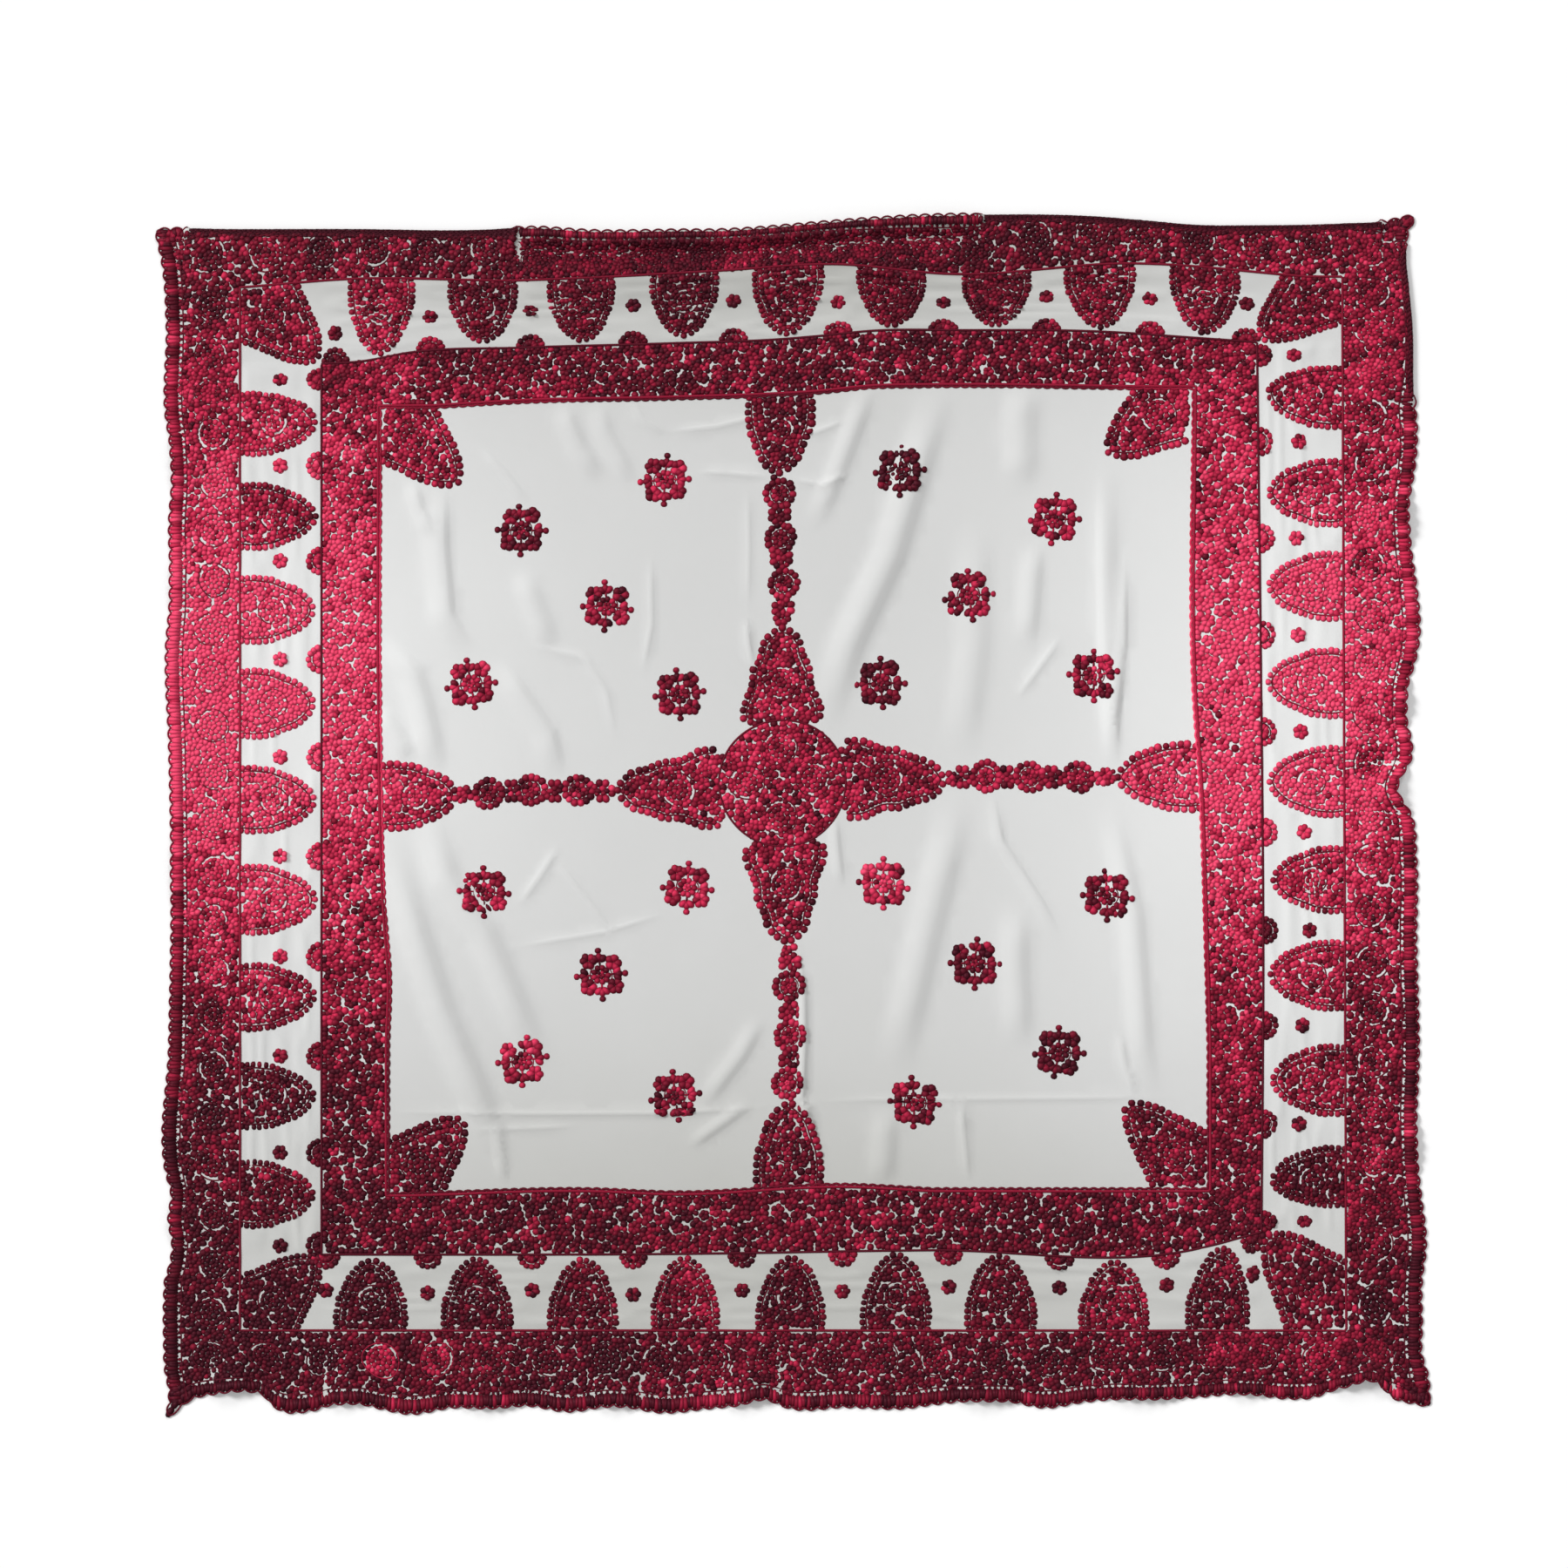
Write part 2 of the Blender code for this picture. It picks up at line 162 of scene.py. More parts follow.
# Low folds, each a ridge along a path, in millimetres. The side that the path leaves on its left
# may fall off more steeply than the other. Columns: half width on the right hand of the path, half
# width on its left hand, height, 1 where it runs off the edge, then the places of the path.
FOLDS = {
    "spike, upper left": (22, 14, 5, 0, (-600, 486), (-584, 440), (-566, 396)),
    "elbow, upper left": (40, 15, 6, 0, (-550, 486), (-549, 383), (-539, 271), (-500, 208)),
    "towards medallion": (34, 18, 6, 0, (-462, 200), (-378, 82), (-358, 8)),
    "beside elbow": (34, 24, 7, 0, (-648, 236), (-596, 178), (-580, 126), (-553, 8)),
    "left border, short": (24, 22, 5, 0, (-656, 120), (-625, 80), (-598, 38)),
    "top spike, left": (28, 18, 5, 0, (-360, 612), (-328, 540), (-292, 488)),
    "top spike, right": (24, 18, 4, 0, (-304, 616), (-286, 562), (-240, 480)),
    "soft, upper left": (28, 24, 5, 0, (-424, 346), (-400, 285), (-370, 214)),
    "slant, upper right": (40, 30, 9, 0, (262, 660), (220, 526), (173, 367), (108, 228), (58, 70)),
    "slant, beside it": (24, 20, 5, 0, (142, 650), (88, 506), (44, 404)),
    "upright, upper right": (40, 32, 6, 0, (386, 650), (382, 560), (386, 470)),
    "upright, below it": (28, 20, 5, 0, (404, 392), (398, 300), (390, 214)),
    "upright, right middle": (40, 32, 5, 0, (308, 430), (308, 233), (284, 30)),
    "storage, upper right": (18, 26, 5, 0, (514, 530), (515, 345), (524, 10)),
    "below right chain": (40, 32, 7, 0, (278, 0), (266, -95), (232, -228), (190, -414), (178, -480)),
    "upright, lower right": (34, 26, 6, 0, (374, -190), (374, -300), (382, -430)),
    "storage, lower right": (30, 22, 6, 0, (520, -20), (562, -210), (577, -420), (594, -520)),
    "bottom right chain": (30, 24, 5, 0, (166, -520), (162, -590), (158, -650)),
    "long, lower left": (38, 30, 10, 0, (-648, -70), (-594, -228), (-548, -368), (-492, -499), (-446, -630)),
    "second, lower left": (36, 30, 9, 0, (-584, -20), (-542, -154), (-482, -240), (-412, -402),
                           (-376, -470)),
    "curve, lower chain": (22, 16, 4, 0, (-34, -370), (-68, -434), (-134, -520)),
    "bottom hem 1": (46, 46, 13, 1, (-884, -1010), (-880, -945), (-872, -860)),
    "bottom hem 2": (40, 40, 8, 1, (-702, -1010), (-700, -940), (-690, -850)),
    "bottom hem 3": (62, 62, 7, 1, (-470, -1010), (-476, -930), (-480, -820)),
    "bottom hem 4": (40, 40, 8, 1, (-268, -1010), (-266, -940), (-262, -850)),
    "bottom hem 5": (48, 48, 11, 1, (-50, -1010), (-52, -930), (-60, -810)),
    "bottom hem 6": (58, 58, 11, 1, (330, -1010), (326, -930), (318, -800)),
    "bottom hem 7": (76, 76, 9, 1, (580, -1010), (584, -930), (592, -800)),
    "bottom hem 8": (40, 40, 8, 1, (744, -1010), (748, -930), (760, -820)),
    "bottom hem 9": (58, 58, 16, 1, (930, -1000), (926, -910), (908, -800)),
    "right hem 1": (60, 60, 8, 1, (1040, -580), (960, -576), (850, -566)),
    "right hem 2": (46, 46, 14, 1, (1040, -10), (950, -6), (846, 4)),
    "right hem 3": (44, 44, 10, 1, (1040, 134), (950, 130), (850, 122)),
    "right hem 4": (56, 56, 11, 1, (1040, 430), (950, 424), (850, 410)),
    "left hem 1": (44, 44, 8, 1, (-1010, -700), (-930, -704), (-840, -712)),
    "left hem 2": (64, 64, 6, 1, (-1010, -140), (-930, -150), (-830, -160)),
    "left hem 3": (44, 44, 8, 1, (-1010, 322), (-930, 318), (-840, 306)),
    "left hem 4": (50, 50, 10, 1, (-1010, 520), (-930, 512), (-830, 500)),
}
print("folds laid by hand:", len(FOLDS))

# %% [markdown]
# A point of the flat cloth is sent to where it lies. Folds lift it, and past an edge line that is
# turned it goes round a small bend and back under. It is worked out from formulas, not by a cloth
# simulation: the folds in the picture have known places, and a simulation would put them elsewhere.

# %% From the flat cloth to the laid cloth


def curve_through(rows, at):
    """The smooth curve through a table of (place, value) rows, read at the places given."""
    place, value = np.array(rows, float).T
    slope = np.gradient(value, place)
    at = np.clip(at, place[0], place[-1])
    i = np.clip(np.searchsorted(place, at) - 1, 0, len(place) - 2)
    run = place[i + 1] - place[i]
    t = (at - place[i]) / run
    rise = value[i + 1] - value[i]
    bend = (slope[i] * run - rise) * (1 - t) + (rise - slope[i + 1] * run) * t
    return value[i] + t * rise + t * (1 - t) * bend


def smooth_step(t):
    """Goes from 0 to 1 with no corner at either end."""
    t = np.clip(t, 0, 1)
    return t * t * (3 - 2 * t)


def window(at, start, full_from, full_to, end):
    """1 between the two inner places, 0 outside the outer ones."""
    return smooth_step((at - start) / (full_from - start)) * smooth_step((end - at) / (end - full_to))


def turned_length(turns, at):
    """How much cloth is turned under at each place along a side."""
    return sum(turn[4] * window(at, *turn[:4]) for turn in turns)


def bend_share(length):
    """How much of a full bend is made where so much is turned."""
    return np.maximum(smooth_step(length / (np.pi * BEND_RADIUS)), LEAST_SHARE)


def turned_edge(turns, at, beyond):
    """How a point beyond the edge line is rolled under it: how far out, how far down, how high."""
    length = turned_length(turns, at)
    share = bend_share(length)
    radius = BEND_RADIUS / share
    past = np.maximum(beyond, 0)
    angle = np.minimum(past / radius, np.pi)
    out = np.where(beyond > 0, radius * np.sin(angle) - np.maximum(past - np.pi * radius, 0), beyond)
    last_angle = np.minimum((length + SCALLOP_DEPTH) / radius, np.pi)
    full_drop = radius * (1 - np.cos(last_angle))
    pressed = np.minimum(1, 2 * BEND_RADIUS / full_drop)
    drop = radius * (1 - np.cos(angle)) * pressed
    height = full_drop * pressed + TURN_CLEARANCE * share
    flat = length < FLAT_LENGTH
    out = np.where(flat, beyond, out)
    sinking = smooth_step(1 - (np.maximum(-out, 0) - length) / SINK_RUN)
    return out, np.where(flat, 0, drop), np.where(flat, 0, height) * sinking


def ridge_height(x, y, fold):
    """The height of one fold: a rounded ridge along its path that fades at its ends."""
    right_hand, left_hand, height, runs_off, *places = fold
    places = np.array(places, float)
    runs = np.diff(places, axis=0)
    lengths = np.hypot(*runs.T)
    before = np.cumsum(lengths) - lengths
    nearest = np.full(np.shape(x), np.inf)
    along = np.zeros(np.shape(x))
    for place, run, length, passed in zip(places, runs, lengths, before):
        off_x, off_y = x - place[0], y - place[1]
        t = np.clip((off_x * run[0] + off_y * run[1]) / length**2, 0, 1)
        half_width = np.where(run[0] * off_y > run[1] * off_x, left_hand, right_hand)
        away = np.hypot(off_x - t * run[0], off_y - t * run[1]) / half_width
        along = np.where(away < nearest, (passed + t * length) / lengths.sum(), along)
        nearest = np.minimum(nearest, away)
    across = np.clip(1 - nearest**2, 0, 1) ** 2
    fade = smooth_step((1 - along) / (INNER_FADE if runs_off else END_FADE))
    return height * across * (fade if runs_off else fade * smooth_step(along / END_FADE))


def lay(x, y):
    """Where a point of the flat cloth lies, in millimetres."""
    top_edge = curve_through(TOP_EDGE, x)
    out, drop, held_up = turned_edge(TOP_TURNS, x, y - top_edge)
    layer = held_up - drop
    lip = curve_through(LIP_SECTION, np.maximum(-out, 0)) * window(x, *LIP_STRETCH)
    right_edge = curve_through(RIGHT_EDGE, y)
    y = top_edge + out
    out, drop, held_up = turned_edge(RIGHT_TURNS, y, x - right_edge)
    layer = layer + held_up - drop
    x = right_edge + out
    ridges = sum(ridge_height(x, y, fold) for fold in FOLDS.values())
    return np.stack([x, y, CLOTH_THICKNESS / 2 + BACK_STITCH + layer + lip + ridges], axis=-1)


print("the middle of the field lies at", lay(np.array([0.0]), np.array([0.0]))[0].round(2), "mm")

# %% [markdown]
# ## The drawing and how it is fitted to the cloth
#
# The pattern is ruled with straight lines: the hem, the stem line inside the outer border, and the
# outer and inner line of the second border. On the cloth these lines wander, because the cloth has
# been washed and was laid by hand. So each motif is planned in the ruled drawing, where a border is
# a plain rectangle, and every point is then moved to where the nearest lines run on the cloth.

# %% The ruled lines and their course over the cloth
EDGE = {"left": -989, "right": 1016, "bottom": -998, "top": 975}
STEM = {"left": -874, "right": 900, "bottom": -878, "top": 855}
OUTER = {"left": -743, "right": 767, "bottom": -752, "top": 726}
INNER = {"left": -644, "right": 669, "bottom": -655, "top": 629}

# Columns: place along the line, where the line runs there.
STEM_TOP = (
    (-868, 798), (-700, 811), (-420, 809), (-112, 823), (84, 834), (266, 819), (560, 836), (840, 815),
)
OUTER_TOP = (
    (-743, 675), (-679, 679), (-602, 693), (-420, 701), (-182, 708), (0, 715), (59, 720), (140, 728),
    (291, 729), (505, 727), (658, 717), (757, 710),
)
INNER_TOP = ((-567, 606), (-414, 615), (-182, 620), (59, 630), (140, 638), (238, 640), (560, 637))
INNER_BOTTOM = ((-602, -659), (-308, -652), (-182, -657), (112, -645), (238, -652))
OUTER_BOTTOM = ((-742, -756), (-182, -755), (238, -749), (658, -748), (766, -720))
STEM_BOTTOM = ((-874, -878), (900, -878))
STEM_LEFT = ((-878, -874), (855, -874))
OUTER_LEFT = ((-752, -743), (726, -743))
INNER_LEFT = ((-420, -637), (-308, -634), (-230, -640), (140, -650), (525, -650))
INNER_RIGHT = ((-420, 683), (-280, 679), (0, 669), (150, 659), (630, 659))
OUTER_RIGHT = ((-700, 767), (-300, 770), (200, 766), (700, 760))
STEM_RIGHT = ((-800, 903), (800, 897))

# Columns: the drawn line, its course on the cloth, its turned stretches.
LEVELS = (
    (EDGE["bottom"], BOTTOM_EDGE, ()),
    (STEM["bottom"], STEM_BOTTOM, ()),
    (OUTER["bottom"], OUTER_BOTTOM, ()),
    (INNER["bottom"], INNER_BOTTOM, ()),
    (INNER["top"], INNER_TOP, ()),
    (OUTER["top"], OUTER_TOP, ()),
    (STEM["top"], STEM_TOP, ()),
    (EDGE["top"], TOP_EDGE, TOP_TURNS),
)
UPRIGHTS = (
    (EDGE["left"], LEFT_EDGE, ()),
    (STEM["left"], STEM_LEFT, ()),
    (OUTER["left"], OUTER_LEFT, ()),
    (INNER["left"], INNER_LEFT, ()),
    (INNER["right"], INNER_RIGHT, ()),
    (OUTER["right"], OUTER_RIGHT, ()),
    (STEM["right"], STEM_RIGHT, ()),
    (EDGE["right"], RIGHT_EDGE, RIGHT_TURNS),
)


def courses(lines, at):
    """Where each ruled line runs on the flat cloth at the places given."""
    return np.stack([curve_through(rows, at) + turned_length(turns, at) for _, rows, turns in lines])


def drawn_to_cloth(lines, drawn, at):
    """Moves drawn places to the cloth, between the two lines they lie between."""
    ruled = np.array([line[0] for line in lines], float)
    values = courses(lines, at)
    held = np.clip(drawn, ruled[0], ruled[-1])
    i = np.clip(np.searchsorted(ruled, held) - 1, 0, len(ruled) - 2)
    t = (held - ruled[i]) / (ruled[i + 1] - ruled[i])
    n = np.arange(len(held))
    return values[i, n] * (1 - t) + values[i + 1, n] * t + (drawn - held)


def fit(u, v):
    """A place in the drawing, on the flat cloth."""
    x = drawn_to_cloth(UPRIGHTS, u, v)
    y = drawn_to_cloth(LEVELS, v, x)
    return drawn_to_cloth(UPRIGHTS, u, y), y


def cloth_to_drawn(lines, place, at):
    """The other way: which drawn place a place on the flat cloth belongs to."""
    ruled = np.array([line[0] for line in lines], float)
    values = courses(lines, at)
    n = np.arange(len(place))
    i = np.clip((values <= place).sum(axis=0) - 1, 0, len(ruled) - 2)
    t = (place - values[i, n]) / (values[i + 1, n] - values[i, n])
    return ruled[i] + t * (ruled[i + 1] - ruled[i])


def unfit(x, y):
    """A place on the flat cloth, in the drawing."""
    return cloth_to_drawn(UPRIGHTS, x, y), cloth_to_drawn(LEVELS, y, x)


def seen(across, down):
    """A place read off the photograph, in its pixels, as a place in the drawing."""
    x = np.array([(across - PICTURE_MIDDLE) * PIXEL], float)
    y = np.array([(PICTURE_MIDDLE - down) * PIXEL], float)
    u, v = unfit(x, y)
    return float(u[0]), float(v[0])


print("the top left corner of the field is drawn at", [round(w) for w in seen(437, 467)])

# %% [markdown]
# Fine creases come on top of the folds. Hand stitching draws the cloth up, so the white margins
# between the borders pucker: in thin level ridges at the top and bottom, in upright ones at the
# sides. The borders are slightly quilted, and the field is softly uneven. Each of these is a seeded
# noise that is stretched to fit, and it only ever lifts the cloth, so nothing sinks into the floor.

# %% Fine creases
NOISE_CELLS = 64
# The grain of a noise. Columns: cell across, cell up, shift across, shift up, seed.
LEVEL_GRAIN = (75, 17, 9, 0, 3)
UPRIGHT_GRAIN = (18, 85, 0, 5, 4)
BROAD_GRAIN = (120, 150, 3, 7, 5)
LONG_GRAIN = (60, 140, 0, 0, 6)
QUILT_GRAIN = (27, 27, 0, 0, 7)
PUCKER_HEIGHT = 2.2
QUILT_HEIGHT = 0.5
FIELD_HEIGHT = 1.0
# Over how far the puckers, their corners and the field fade.
MARGIN_RAMP = 14
CORNER_RAMP = 24
CORNER_REACH = 4
FIELD_RAMP = 30
# Where the cloth is turned under, the creases end this far past the edge line.
CREASE_END = 20
PROBE = 0.5

# Creases of storage, and the small ones beside the embroidery, in the form of the folds.
CREASES = (
    (12, 7, 2.4, 0, (-252, 622), (-226, 586), (-188, 560)),
    (14, 9, 2.2, 0, (-492, 542), (-450, 500), (-406, 444)),
    (9, 6, 1.7, 0, (-214, 372), (-212, 257), (-228, 170)),
    (10, 7, 1.6, 0, (-420, 226), (-320, 203), (-286, 150), (-268, 66)),
    (8, 6, 1.3, 0, (-58, 480), (-56, 380), (-58, 276)),
    (10, 5, 2.8, 0, (-60, 268), (-56, 225), (-47, 182)),
    (8, 6, 1.7, 0, (-190, 566), (-110, 574), (-20, 596)),
    (8, 5, 1.8, 0, (-140, 502), (-90, 500), (-20, 494)),
    (8, 6, 2.0, 0, (10, 492), (60, 480), (112, 502)),
    (7, 6, 1.6, 0, (24, 560), (52, 566), (100, 584)),
    (20, 9, 4.0, 0, (546, 368), (545, 224), (531, 107), (534, 20)),
    (9, 9, 1.9, 0, (448, 240), (412, 190), (372, 136)),
    (9, 9, 2.0, 0, (-360, -96), (-390, -145), (-428, -198)),
    (9, 6, 1.6, 0, (-368, -120), (-322, -178), (-272, -240)),
    (7, 6, 1.3, 0, (-436, -262), (-289, -238), (-184, -206)),
    (6, 6, 1.8, 0, (-660, -527), (-400, -530), (-200, -529), (-60, -522), (14, -512)),
    (6, 6, 1.3, 0, (-510, -556), (-430, -554), (-330, -550)),
    (6, 6, 1.3, 0, (18, -512), (140, -507), (330, -506), (650, -503)),
    (16, 12, 3.2, 0, (-50, -510), (-100, -545), (-156, -584)),
    (16, 12, 3.2, 0, (-463, -540), (-454, -600), (-448, -645)),
    (18, 8, 3.2, 0, (332, -8), (349, -92), (413, -191), (448, -254)),
    (12, 8, 2.6, 0, (538, -394), (548, -450), (568, -506)),
    (10, 7, 2.2, 0, (286, -500), (290, -570), (298, -645)),
    (8, 8, 1.7, 0, (256, -504), (280, -530), (294, -556)),
    (16, 9, 3.2, 0, (80, -48), (86, -110), (93, -166)),
    (10, 6, 4.0, 0, (20, -244), (32, -340), (33, -420), (29, -500), (50, -570), (72, -640)),
)


def value_noise(x, y, grain):
    """Smooth noise from 0 to 1, with one random value a cell."""
    across, up, shift_across, shift_up, seed = grain
    x, y = x / across + shift_across, y / up + shift_up
    values = np.random.default_rng(seed).random((NOISE_CELLS, NOISE_CELLS))
    i, j = np.floor(x).astype(int), np.floor(y).astype(int)
    s, t = smooth_step(x - i), smooth_step(y - j)
    a, b = i % NOISE_CELLS, j % NOISE_CELLS
    c, d = (i + 1) % NOISE_CELLS, (j + 1) % NOISE_CELLS
    lower = values[a, b] * (1 - s) + values[c, b] * s
    upper = values[a, d] * (1 - s) + values[c, d] * s
    return lower * (1 - t) + upper * t


def ridged(noise):
    """Turns smooth noise into narrow ridges with wide hollows between them."""
    return (1 - np.abs(2 * noise - 1)) ** 2


def strip_share(at, low, high, ramp):
    """1 between two lines, fading inside each of them."""
    return window(at, low, low + ramp, high - ramp, high)


def fine_creases(x, y):
    """How far the small unevenness lifts the cloth."""
    u, v = unfit(x, y)
    beside = strip_share(u, OUTER["left"] - CORNER_REACH, OUTER["right"] + CORNER_REACH, CORNER_RAMP)
    between = strip_share(v, OUTER["bottom"] - CORNER_REACH, OUTER["top"] + CORNER_REACH, CORNER_RAMP)
    above = strip_share(v, OUTER["top"], STEM["top"], MARGIN_RAMP)
    below = strip_share(v, STEM["bottom"], OUTER["bottom"], MARGIN_RAMP)
    level = np.maximum(above, below) * beside
    to_right = strip_share(u, OUTER["right"], STEM["right"], MARGIN_RAMP)
    to_left = strip_share(u, STEM["left"], OUTER["left"], MARGIN_RAMP)
    upright = np.maximum(to_right, to_left) * between
    field = strip_share(u, INNER["left"], INNER["right"], FIELD_RAMP)
    field = field * strip_share(v, INNER["bottom"], INNER["top"], FIELD_RAMP)
    puckers = level * ridged(value_noise(u, v, LEVEL_GRAIN))
    puckers = puckers + upright * ridged(value_noise(u, v, UPRIGHT_GRAIN))
    soft = 0.6 * value_noise(x, y, BROAD_GRAIN) + 0.4 * value_noise(x, y, LONG_GRAIN)
    quilt = value_noise(u, v, QUILT_GRAIN) * (1 - field) * (1 - level) * (1 - upright)
    ridges = sum(ridge_height(x, y, crease) for crease in CREASES)
    return PUCKER_HEIGHT * puckers + FIELD_HEIGHT * soft * field + QUILT_HEIGHT * quilt + ridges * field


def cloth_point(x, y):
    """Where a point of the flat cloth lies, in metres, on the middle of its thickness."""
    point = lay(x, y)
    point[..., 2] += fine_creases(x, y) * (curve_through(TOP_EDGE, x) + CREASE_END > y)
    return (point - np.array([*MIDDLE, 0.0])) * MM


def surface(x, y):
    """The same, with the direction that the cloth's face looks in."""
    across = cloth_point(x + PROBE, y) - cloth_point(x - PROBE, y)
    along = cloth_point(x, y + PROBE) - cloth_point(x, y - PROBE)
    facing = np.cross(across, along)
    return cloth_point(x, y), facing / np.linalg.norm(facing, axis=-1, keepdims=True)


samples = np.random.default_rng(1).uniform(-600, 600, (2, 4000))
print("creases lift the cloth by up to", round(float(fine_creases(*samples).max()), 2), "mm")

# %% [markdown]
# ## The cotton ground
#
# The ground is one sheet of cotton with a scalloped hem. It could be a grid with a cloth modifier,
# but a grid has straight edges. Here the outline is cut first, with its scallops, and the inside is
# filled by a Delaunay triangulation, as a dressmaker's pattern is filled with cloth. The points lie
# closer together in the puckered margins and round the turned edges, where the cloth bends most.
# A Solidify modifier then gives the sheet its thickness.

# %% The outline and the hem's own measure
SIDES = {
    "bottom": (BOTTOM_EDGE, (), STEM_BOTTOM, STEM["bottom"] - EDGE["bottom"], True),
    "right": (RIGHT_EDGE, RIGHT_TURNS, STEM_RIGHT, EDGE["right"] - STEM["right"], False),
    "top": (TOP_EDGE, TOP_TURNS, STEM_TOP, EDGE["top"] - STEM["top"], True),
    "left": (LEFT_EDGE, (), STEM_LEFT, STEM["left"] - EDGE["left"], False),
}
OUTWARD = {"bottom": -90, "right": 0, "top": 90, "left": 180}
SCALLOP_STEPS = 6
ROUNDNESS = 0.8


def scallop_rise(share):
    """How far a scallop stands out, with the share of the way through it."""
    return SCALLOP_DEPTH * np.abs(np.sin(np.pi * share)) ** ROUNDNESS


def hem_place(side, at, out):
    """A place on the flat cloth: so far along a side, and so far out from its edge line."""
    rows, turns, stem_rows, drawn_width, level = SIDES[side]
    edge = curve_through(rows, at)
    away = np.sign(edge)
    edge = edge + away * turned_length(turns, at)
    stretch = np.abs(edge - curve_through(stem_rows, at)) / drawn_width
    line = edge + away * np.where(out > 0, out, out * stretch)
    return (at, line) if level else (line, at)


def hem_row(side, out, per_scallop, inset=0.0):
    """Places along a side, a number to each scallop, with the scallop's shape left out."""
    first, last = SIDES[side][0][0][0], SIDES[side][0][-1][0]
    count = round((last - first) / SCALLOP_PITCH)
    share = np.arange(count * per_scallop) / per_scallop
    at = first + (last - first) * share / count
    kept = (at >= first + inset) & (at <= last - inset)
    return at[kept], np.full(kept.sum(), float(out)), share[kept]


def ring_of_sides(out, per_scallop, scalloped):
    """A closed line round the whole cloth, anticlockwise."""
    line = []
    for side in ("bottom", "right", "top", "left"):
        at, off, share = hem_row(side, out, per_scallop, max(0.0, -out))
        off = off + (scallop_rise(share) if scalloped else 0.0)
        points = np.stack(hem_place(side, at, off), axis=-1)
        line.append(points if side in ("bottom", "right") else points[::-1])
    return np.concatenate(line)


rim = ring_of_sides(0.0, SCALLOP_STEPS, True)
around = np.hypot(*(rim - np.roll(rim, 1, 0)).T).sum()
print("points round the rim:", len(rim), " round the cloth:", round(around), "mm")

# %% [markdown]
# The turned edges need rows of points of their own, so that the small bend is round. Each row
# follows the edge line, and the rows are held together as edges that the triangulation must keep.

# %% Cutting and laying the cloth
BEND_ROWS = 6
BEND_STEP = 12.0
BEND_END_STEP = 5.0
BEND_INSET = 2.5
# The points of the grid keep this far from the hem, and clear of a bend. Columns: where more than
# this is turned, how far inwards of the edge line, how far outwards.
HEM_CLEAR = 8.5
BEND_CLEAR = (0.5, 3, 12)
# One more ring of points inside the rim. Columns: distance out, points to each scallop.
INNER_RING = (-3.5, 3)
FOLD_STEP = 12.0
FOLD_ROWS = 7
CREASE_ROWS = 5
NARROW_FOLD = 12
FOLD_NEAREST = 3.0
FOLD_CLEAR = 6.5
PLAIN_COTTON_LEVEL = 0.5
# Painted light and shade on the cotton: painted whiter at mid height of both sides, as where more
# light falls, and painted greyer along the top and the bottom, as where less light falls.
# Columns: x, y, reach across, reach up, how much lighter.
PAINTED_LIGHT_AREAS = (
    (-760, 160, 360, 460, 0.42), (760, 100, 370, 640, 0.44),
    (0, -800, 1100, 330, -0.42), (0, 880, 1100, 200, -0.45),
)
# Columns: from, to, how far apart the points are.
COLUMNS = ((-1000, -874, 12), (-874, -743, 4.5), (-743, 767, 13), (767, 900, 4.5), (900, 1060, 12))
ROWS = ((-1005, -878, 12), (-878, -752, 4.5), (-752, 676, 13), (676, 836, 4.7), (836, 975, 5.2))


def spaced(stretches):
    """Places one after the other, each stretch with its own spacing."""
    runs = [np.linspace(a, b, round((b - a) / step) + 1)[:-1] for a, b, step in stretches]
    return np.concatenate(runs)


def bend_lines():
    """Rows of points along each turned edge."""
    lines = []
    for table, turns, upright in TURNED_SIDES:
        for start, full_from, full_to, end, _ in turns:
            stretches = (
                (start, full_from, BEND_END_STEP), (full_from, full_to, BEND_STEP),
                (full_to, end, BEND_END_STEP),
            )
            at = spaced(stretches)
            length = turned_length(turns, at)
            base = curve_through(table, at)
            for k in range(BEND_ROWS + 1):
                offset = k / BEND_ROWS * np.pi * (BEND_RADIUS / bend_share(length))
                kept = (offset < length - BEND_INSET) & (length > 1)
                line = np.stack([at[kept], (base + offset)[kept]], axis=-1)
                lines.append(line[:, ::-1] if upright else line)
    return [line for line in lines if len(line) > 1]


def tree_of(places):
    """A search tree over flat places."""
    tree = KDTree(len(places))
    for k, place in enumerate(places):
        tree.insert((place[0], place[1], 0.0), k)
    tree.balance()
    return tree


def fold_points():
    """Points along each fold and crease of the field, closer together across it than along it."""
    points = []
    for right_hand, left_hand, _, runs_off, *places in (*FOLDS.values(), *CREASES):
        if runs_off:
            continue
        places = np.array(places, float)
        rows = FOLD_ROWS if right_hand > NARROW_FOLD else CREASE_ROWS
        for first, run in zip(places, np.diff(places, axis=0)):
            length = np.hypot(*run)
            steps = np.linspace(0, 1, round(length / FOLD_STEP) + 1)[:-1, None]
            for row in np.linspace(-1, 1, rows):
                half_width = left_hand if row > 0 else right_hand
                points.append(first + steps * run + row * half_width * np.array((-run[1], run[0])) / length)
    points = np.concatenate(points)
    _, kept = np.unique(np.round(points / FOLD_NEAREST), axis=0, return_index=True)
    return points[kept]


def turned_places(x, y):
    """For both sides with turned stretches: how much is turned there, how far past the edge line."""
    return ((turned_length(TOP_TURNS, x), y - curve_through(TOP_EDGE, x)),
            (turned_length(RIGHT_TURNS, y), x - curve_through(RIGHT_EDGE, y)))


def near_bend(x, y, least, inwards, outwards):
    """Which places on the flat cloth lie near the bend of a turned edge."""
    near = np.zeros(np.shape(x), bool)
    for length, past in turned_places(x, y):
        near |= (length > least) & (past > -inwards) & (past < outwards)
    return near


